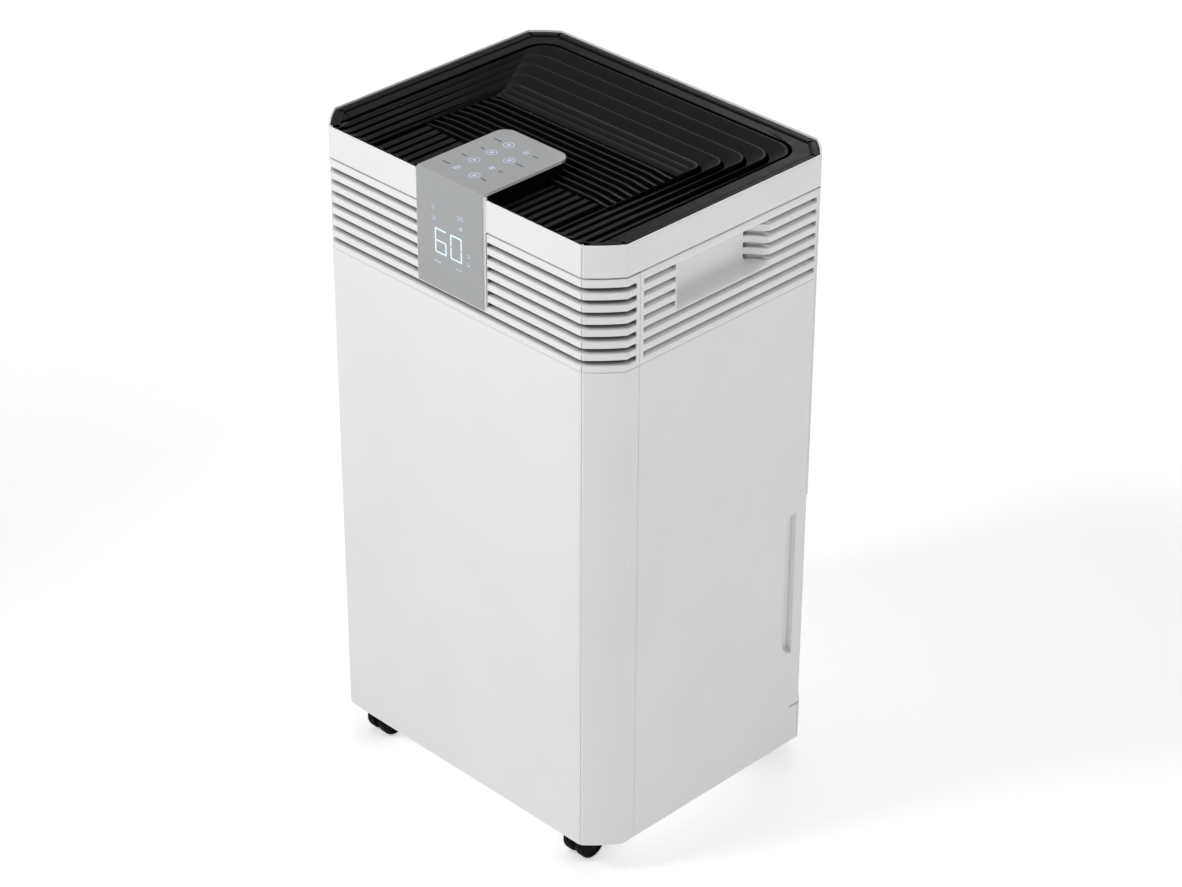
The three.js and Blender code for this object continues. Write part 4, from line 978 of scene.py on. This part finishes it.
def u_blade(index):
    """One blade of the dished field: a crest, a face that falls towards the middle, a steep inner wall."""
    crest_x = BLADE_CREST_X - index * BLADE_PITCH_X
    crest_y = BLADE_CREST_Y - index * BLADE_PITCH_Y
    radius = BLADE_RADIUS[0] - index * BLADE_RADIUS[1]
    outer = u_curve(crest_x, crest_y, radius)
    if index == BLADE_COUNT - 1:
        inner = u_curve(SLAT_FIELD_X, SLAT_FIELD_Y[1], 3.0)
        profile = BLADE_PROFILE[:5] + GROOVES + BLADE_PROFILE[5:]
    else:
        inner = u_curve(crest_x - BLADE_WIDTH_X, crest_y - BLADE_WIDTH_Y, radius)
        profile = BLADE_PROFILE
    rings = []
    for share, rise, slope in profile:
        ring = []
        for (ax, ay), (bx, by) in zip(mirrored(outer), mirrored(inner)):
            x, y, width = mix(ax, bx, share), mix(ay, by, share), hypot(bx - ax, by - ay)
            top = BLADE_TOP - DISH * index
            ring.append((x, y, blade_height(top, rise, slope, width, y, rim_front_y(x))))
        rings.append(ring)
    return rings


def field_tier():
    """The step between the rim and the outermost blade."""
    half = u_curve(TIER_X, TIER_Y, TIER_RADIUS)
    last_straight = FRONT_STEPS[1] + SIDE_STEPS
    turning = len(half) - last_straight - 1
    outer = []
    for i, (_, y) in enumerate(half):
        place = max(at_y(y), FRONT_EDGE + 8.0)
        if i > last_straight:
            place = mix(at_y(TIER_TURN_Y), HALF_LENGTH, (i - last_straight + 1) / (turning + 1))
        outer.append(at(place, RIM_INSET - 0.4))
    inner = mirrored(half)
    top, edge = BODY_TOP - 1.0, 0.5
    rounded = [(x + copysign(edge, x), y + (edge if y > TIER_Y - 0.1 else 0.0)) for x, y in inner]
    levels = [(mirrored(outer), top), (rounded, top), (inner, top - EDGE), (inner, FIELD_BOTTOM - 4)]
    return [[(x, y, z) for x, y in line] for line, z in levels]


def front_blade(index, side):
    """A straight blade of the front field, from the front rim back to the slats."""
    crest = BLADE_CREST_X - (BLADE_COUNT - 1 + index) * BLADE_PITCH_X
    inner = max(crest - BLADE_WIDTH_X, PANEL_WELL_X)
    top = BLADE_TOP - DISH * (BLADE_COUNT - 1) - FRONT_DISH * index
    back = SLAT_FIELD_Y[0]
    rings = []
    for y in front_stretch(FIELD_FRONT) + [back - 30.0, back - 0.6, back]:
        ring = []
        for share, rise, slope in BLADE_PROFILE:
            z = blade_height(top, rise, slope, crest - inner, y, FIELD_FRONT)
            if y == back and rise > BLADE_FOOT:
                z -= 0.4
            ring.append((side * mix(crest, inner, share), y, z))
        rings.append(ring)
    return rings


def slat(y):
    """A thin bar across the middle, whose ends droop into the dish."""
    section = [(-1.25, -5.5), (-1.25, -0.5), (-0.85, 0.0), (0.85, 0.0), (1.25, -0.5), (1.25, -5.5)]
    end = spread(95.0, SLAT_REACH, 6)
    start, length = SLAT_BEND
    rings = []
    for x in [-x for x in reversed(end)] + spread(-60.0, 60.0, 4) + end:
        droop = SLAT_DROOP * smoothstep((abs(x) - start) / length)
        rings.append([(x, y + v, SLAT_TOP - droop + w) for v, w in section])
    return rings


def top_grille():
    top_rim()
    blades = [u_blade(i) for i in range(BLADE_COUNT)] + [field_tier()]
    lofted("outlet_blades", blades, GRILLE, closed=False, angle=28.0)
    straight = [front_blade(i, side) for i in range(1, 7) for side in (-1, 1)]
    lofted("front_blades", straight, GRILLE, angle=28.0)
    slats = [slat(SLAT_FIELD_Y[0] + 5.6 + SLAT_PITCH * i) for i in range(SLAT_COUNT)]
    lofted("middle_slats", slats, GRILLE)
    ribs = [(around(x, 1.2), (-75.0, 17.0), (606.0, 613.5)) for x in RIB_X]
    bevelled("slat_ribs", ribs, GRILLE, bevel=0.4)
    # A near-black slab under the blades and slats: painted shade that makes the gaps between them dark.
    plan = [at(c, 4.0) for c in round_columns(0.0)[:-1]]
    lofted("outlet_shade_sheet", [[[(x, y, z) for x, y in plan] for z in (604.0, 605.5)]], SHADE_SHEET)


# ---------------- touch panel


def panel_back_edge(x):
    """The panel's back edge at x, with its rounded corners."""
    into = abs(x) - (PANEL_HALF_WIDTH - PANEL_CORNER)
    if into <= 0.0:
        return PANEL_BACK
    return PANEL_BACK - PANEL_CORNER + sqrt(max(0.0, PANEL_CORNER**2 - into**2))


def control_panel():
    """The folded grey cover: up the front, over a tight bend, back along the top, with pale cut sides."""
    front, top, fold = PANEL_FRONT + 0.15, PANEL_TOP - 0.1, PANEL_FOLD
    round_edge = [(0.0, PANEL_THICKNESS), (0.0, PANEL_EDGE), (PANEL_EDGE_MIDDLE, PANEL_EDGE_MIDDLE)]
    side_edge = [(PANEL_HALF_WIDTH - x, inset) for x, inset in round_edge]
    straight = PANEL_HALF_WIDTH - PANEL_CORNER
    arc = [straight + PANEL_CORNER * sin(a) for a in spread(0.0, radians(80.0), 12)]
    half = side_edge + flat(reversed(arc))
    columns = half + [(-x, inset) for x, inset in reversed(half)]

    def upright(y, z, out_y=-1.0, out_z=0.0):
        return lambda x, inset: (x, y - out_y * inset, z - out_z * inset)

    def lying(share, pull):
        return lambda x, inset: (x, mix(front + fold, panel_back_edge(x) - pull, share), top - inset)

    rows = [(upright(front, PANEL_BOTTOM + z), inset) for z, inset in round_edge]
    rows += flat(upright(front, z) for z in spread(PANEL_BOTTOM + PANEL_EDGE, top - fold, 12))
    for angle in spread(0.0, pi / 2, 10)[1:]:
        out_y, out_z = -cos(angle), sin(angle)
        y, z = front + fold + fold * out_y, top - fold + fold * out_z
        rows += flat([upright(y, z, out_y, out_z)])
    rows += flat(lying(share, PANEL_EDGE) for share in spread(0.1, 1.0, 9))
    rows += [(lying(1.0, pull), inset) for pull, inset in reversed(round_edge)]
    folded = sheet(columns, rows, lambda x, row, inset: row(x, inset))
    cover = new_object("folded_cover", *folded, PANEL, ["control_panel"], angle=40.0)
    cover.data.materials.append(GREY_EDGE)
    for polygon in cover.data.polygons:
        widths = [abs(cover.data.vertices[i].co.x) for i in polygon.vertices]
        if min(widths) > PANEL_HALF_WIDTH * MM - 1e-6:
            polygon.material_index = 1


def panel_carrier():
    """The white body behind the folded cover, whose edges show on both sides of it."""
    half, front, top = CARRIER_HALF_WIDTH, -HALF_DEPTH - 0.6, PANEL_TOP - 2.6
    boxes = [((-half, half), (front, -HALF_DEPTH + 2.2), (PANEL_BOTTOM, top))]
    boxes.append(((1.0 - half, half - 1.0), (front + 1.0, -130.0), (PANEL_BOTTOM + 1.0, 612.0)))
    # Its white is painted lighter than the casing's and has no painted shade.
    bevelled("carrier_front", boxes, CARRIER, ["panel_carrier"], bevel=0.3)
    seat_half, seat_front, seat_back, corner = 40.0, -140.0, -42.8, 12.0
    plan = [(-seat_half, seat_front), (seat_half, seat_front)]
    for side in (1, -1):
        for angle in spread(0.0, pi / 2, 8):
            turn = angle if side > 0 else pi / 2 + angle
            x = side * (seat_half - corner) + corner * cos(turn)
            plan.append((x, seat_back - corner + corner * sin(turn)))
    lofted("panel_seat", [[[(x, y, z) for x, y in plan] for z in (605.8, top)]], GRILLE)


DIGIT_WIDTH = 14.5
DIGIT_HEIGHT = 24.0
DIGIT_STROKE = 1.45
SEGMENTS = {
    "6": "top upper_left middle lower_left lower_right bottom",
    "0": "top upper_left upper_right lower_left lower_right bottom",
}


def digit_boxes(digit, left, bottom):
    """The lit segments of one digit on the front face."""
    stroke, gap = DIGIT_STROKE, 0.5
    right, top, middle = left + DIGIT_WIDTH, bottom + DIGIT_HEIGHT, bottom + DIGIT_HEIGHT / 2
    spans = {}
    for name, z in (("top", top - stroke), ("middle", middle - stroke / 2), ("bottom", bottom)):
        spans[name] = ((left + gap, right - gap), (z, z + stroke))
    for half, z in (("upper", (middle + gap, top - gap)), ("lower", (bottom + gap, middle - gap))):
        spans[f"{half}_left"] = ((left, left + stroke), z)
        spans[f"{half}_right"] = ((right - stroke, right), z)
    return [(x, FRONT_PRINT_Y, z) for x, z in (spans[name] for name in SEGMENTS[digit].split())]


# Strokes of the small lit signs round the digits: (x, z, width, height).
SIGN_MARKS = [(-20.2, 596.4, 4.6, 0.7), (-20.2, 594.2, 3.0, 0.7), (-21.9, 586.0, 0.7, 3.8)]
SIGN_MARKS += [(-19.2, 585.6, 0.7, 3.8), (-20.4, 583.6, 4.0, 0.6), (-17.6, 586.6, 1.2, 1.2)]
SIGN_MARKS += [(13.4, 597.2, 8.0, 0.8), (14.6, 595.0, 5.4, 0.8), (11.4, 594.6, 0.8, 2.2)]
SIGN_MARKS += [(14.4, 586.2, 3.2, 3.2), (23.0, 564.4, 3.2, 0.7), (24.2, 562.2, 2.6, 1.8)]
SIGN_MARKS += [(22.4, 555.4, 0.8, 3.4), (24.2, 554.0, 2.2, 1.6)]


def front_mark(x, z, width, height):
    return (around(x, width / 2), FRONT_PRINT_Y, around(z, height / 2))


def flat_ring(x, y, outer, inner):
    """A thin raised ring on the panel's top."""
    low, high = TOP_PRINT_Z
    loops = [(inner, low), (inner, high), (outer, high), (outer, low), (inner, low)]
    return [[(x + a, y + b, z) for a, b in circle(radius, 28)] for radius, z in loops]


RINGED_ICONS = ((0, 1), (1, -1), (2, -1), (2, 1), (3, -1))  # (row, side)
LETTER_PITCH = 1.6


def panel_prints():
    """Lit digits, lit signs and small dark labels; none of them spells anything."""
    digits = digit_boxes("6", -18.7, 552.6) + digit_boxes("0", 0.8, 552.6)
    bevelled("display_digits", digits, DIGITS, bevel=0.0)
    signs = [front_mark(*mark) for mark in SIGN_MARKS]
    signs += [front_mark(-19.2 + 2.2 * i, 543.9, 1.5, 1.7) for i in range(4)]
    signs += [front_mark(8.0 + 2.0 * i, 545.2, 1.4, 1.5) for i in range(4)]
    bevelled("display_signs", signs, SIGNS, bevel=0.0)
    rings, glyphs, labels = [], [], []
    for row, y in enumerate(spread(*ICON_Y, 3)):
        for side, x in zip((-1, 1), ICON_X):
            ringed = (row, side) in RINGED_ICONS
            if ringed:
                rings.append(flat_ring(x, y, 5.1, 4.55))
            size = 1.9 if ringed else 3.4
            strokes = 3 if (row + side) % 2 else 2
            for i in range(strokes):
                stroke_y = y + (i - (strokes - 1) / 2) * size * 0.8
                glyphs.append((around(x, size), around(stroke_y, 0.3), TOP_PRINT_Z))
            glyphs.append((around(x, 0.35), around(y, size), TOP_PRINT_Z))
            length = 5.0 + 2.5 * ((row * 2 + side) % 3)
            start = x + side * (8.5 + length / 2) - length / 2
            for i in range(int(length / LETTER_PITCH)):
                left = start + LETTER_PITCH * i
                labels.append(((left, left + 1.2), around(y, 0.75), TOP_PRINT_Z))
    lofted("touch_rings", rings, ICONS, caps=False)
    bevelled("touch_glyphs", glyphs, ICONS, bevel=0.0)
    bevelled("touch_labels", labels, LABELS, bevel=0.0)


# ---------------- back, casters


def intake():
    """The tilting grille: a flat frame, horizontal bars, and mullions behind them."""
    half, border, openings = INTAKE_HALF_WIDTH - 0.5, 9.0, 16
    z0, z1 = INTAKE_Z[0] + 0.5, INTAKE_Z[1] - 0.5
    border_y, side_y, mullion_y, bar_y = (143.4, 148.4), (143.5, 148.3), (140.5, 144.5), (144.0, 148.0)
    boxes = [((-half, half), border_y, z) for z in ((z0, z0 + border), (z1 - border, z1))]
    sides = ((0.1 - half, border - half), (half - border, half - 0.1))
    boxes += [(x, side_y, (z0 + 1, z1 - 1)) for x in sides]
    boxes += [(around(x, 2.0), mullion_y, (z0 + 5, z1 - 5)) for x in (-75.0, 0.0, 75.0)]
    pitch = (z1 - z0 - 16.0) / openings
    for i in range(1, openings):
        boxes.append(((6 - half, half - 6), bar_y, around(z0 + 8 + pitch * i, 2)))
    bevelled("intake_front", boxes, INTAKE, ["intake_grille"], bevel=0.9)


def back_fittings():
    """The drain plug with its tab, and the bush that the mains lead would come through."""
    head = [(7.0, 136.0), (7.0, 143.4), (8.6, 143.8), (9.0, 144.3), (9.0, 145.9), (8.6, 146.4), (0.0, 146.6)]
    turned("drain_plug_head", head, (-PORT_X, PORT_Z), "y", PLUG, ["drain_cap"])
    bevelled("drain_plug_tab", [(around(-PORT_X, 2), (145.8, 148.4), around(PORT_Z, 7))], PLUG, bevel=0.8)
    bush = [(4.0, 139.0), (11.0, 139.0), (11.0, 143.0), (8.0, 143.3), (8.0, 146.3), (10.4, 146.3)]
    bush += [(11.0, 146.9), (11.0, 147.6), (10.2, 148.4), (5.2, 148.4), (4.0, 147.6), (4.0, 139.0)]
    turned("cord_bush", bush, (PORT_X, PORT_Z), "y", BUSH, ["cord_gland"], caps=False)


def caster(corner, x, y):
    """Twin wheels with a rounded tread, a dished hub and a hub cap, on a short axle."""
    centre = (y, WHEEL_RADIUS - CASTER_HEIGHT)
    r = WHEEL_RADIUS
    disc = [(0.0, 3.0), (r - 2.0, 3.0), (r - 0.5, 3.6), (r, 5.0), (r, 10.8), (r - 0.5, 12.4)]
    disc += [(r - 1.7, 13.2), (r - 3.2, 13.4), (r - 4.0, 12.2), (r - 5.0, 11.9), (6.0, 11.9)]
    disc += [(5.4, 12.5), (5.0, 13.7), (4.2, 14.0), (0.0, 14.0)]
    tread = Skin(TREAD, f"wheel_{corner}", "caster_tread")
    for side, place in ((-1, "inner"), (1, "outer")):
        profile = [(radius, x + side * w) for radius, w in disc]
        nodes = [f"caster_wheel_{corner}"] if side < 0 else []
        turned(f"caster_disc_{corner}_{place}", profile, centre, "x", tread, nodes, sides=56)
    axle = [(0.0, x - 3.2), (3.0, x - 3.2), (3.0, x + 3.2), (0.0, x + 3.2)]
    turned(f"caster_hub_{corner}", axle, centre, "x", tread._replace(material=NYLON), sides=24)


# ---------------- pieces kept from the CAD frame

# (material, width of the rounded edges, CAD nodes)
KEPT = [
    (WHITE, 0.4, "base_tray"),
    (BOARD, 0.2, "display_board touch_board main_board humidity_sensor"),
    (MESH, 0.5, "air_filter"),
    (TANK_INNER, 0.5, "water_tank"),
    (CLEAR, 0.3, "level_window"),
    (INNER, 0.2, "fan_wheel"),
    (INNER, 0.3, "bay_wall"),
    (INNER, 0.4, "shelf drip_tray bulkhead"),
    (INNER, 0.5, "tank_lid fan_housing"),
    (INNER, 0.6, "control_box"),
    (INNER, 0.8, "run_capacitor"),
    (INNER, 0.9, "tank_handle"),
    (INNER, 1.2, "tank_float"),
    (FINS, 0.3, "evaporator condenser"),
    (COPPER, 0.0, "discharge_pipe suction_pipe capillary_tube"),
    (STEEL, 0.6, "fan_motor"),
    (PAINT, 1.0, "compressor"),
    (PAINT, 0.6, "accumulator"),
    (RUBBER, 0.5, "compressor_foot_1 compressor_foot_2 compressor_foot_3"),
    (RUBBER, 0.4, "float_sensor"),
    (NYLON, 0.5, " ".join(f"caster_socket_{corner}" for corner in CASTER_PLACES)),
    (NYLON, 1.2, " ".join(f"caster_fork_{corner}" for corner in CASTER_PLACES)),
]


def keep(node, material, bevel):
    """Gives a CAD node a procedural material and rounded edges."""
    obj = bpy.data.objects[node]
    obj.data.materials.clear()
    obj.data.materials.append(material)
    if bevel:
        modifier = obj.modifiers.new("rounded edges", "BEVEL")
        modifier.width = bevel * MM
        modifier.segments = 2
        modifier.limit_method = "ANGLE"
        modifier.angle_limit = radians(35.0)
        modifier.harden_normals = False


# ---------------- stage


def lamp(name, place, aim, power, size, beam):
    data = bpy.data.lights.new(name, "AREA")
    data.energy = power
    data.size = size
    data.spread = radians(beam)
    obj = linked(name, data)
    obj.location = place
    obj.rotation_euler = (Vector(aim) - Vector(place)).to_track_quat("-Z", "Y").to_euler()
    return obj


def floor_material():
    """White that glows a little, and more far away from the machine."""
    lit = {"Emission Color": (1.0, 1.0, 1.0, 1.0)}
    material, tree, bsdf = shader("floor_white", (0.9, 0.9, 0.9), 0.8, **lit)
    distance = add_node(tree, "ShaderNodeVectorMath", operation="LENGTH")
    object_space(tree, distance.inputs[0])
    strength = ramp(tree, distance.outputs["Value"], *FLOOR_GLOW, *FLOOR_REACH)
    tree.links.new(strength, bsdf.inputs["Emission Strength"])
    return material


def stage():
    """A floor 120 m wide, the lamps and an even white world."""
    mesh = bpy.data.meshes.new("floor")
    reach = 60.0
    corners = [(-reach, -reach, 0.0), (reach, -reach, 0.0), (reach, reach, 0.0), (-reach, reach, 0.0)]
    mesh.from_pydata(corners, [], [(0, 1, 2, 3)])
    mesh.materials.append(floor_material())
    linked("floor", mesh)
    [lamp(*values) for values in LAMPS]
    world = bpy.data.worlds.new("studio")
    bpy.context.scene.world = world
    world.use_nodes = True
    values = {"Color": (1.0, 1.0, 1.0, 1.0), "Strength": WORLD_STRENGTH}
    set_values(world.node_tree.nodes["Background"], values)


def camera():
    """The photo's camera; its place is in metres from the floor's middle."""
    data = bpy.data.cameras.new("camera")
    data.sensor_width = 36.0
    data.lens = 104.506
    data.clip_end = 200.0
    obj = linked("camera", data)
    obj.location = (1.94570, -1.91816, 1.98577)
    obj.rotation_euler = Euler([radians(a) for a in (58.87188, -0.20207, 45.15779)])
    bpy.context.scene.camera = obj


# ---------------- all together

front_shell()
front_belt()
for side in (-1, 1):
    side_belt(side)
    side_panel(side)
top_ring()
back_shell()
drain_boss()
tank_face()
top_grille()
control_panel()
panel_carrier()
panel_prints()
intake()
back_fittings()
for corner, (x, y) in CASTER_PLACES.items():
    caster(corner, x, y)
for material, bevel, nodes in KEPT:
    for node in nodes.split():
        keep(node, material, bevel)
stage()
camera()

scene = bpy.context.scene
scene.view_settings.view_transform = "Standard"
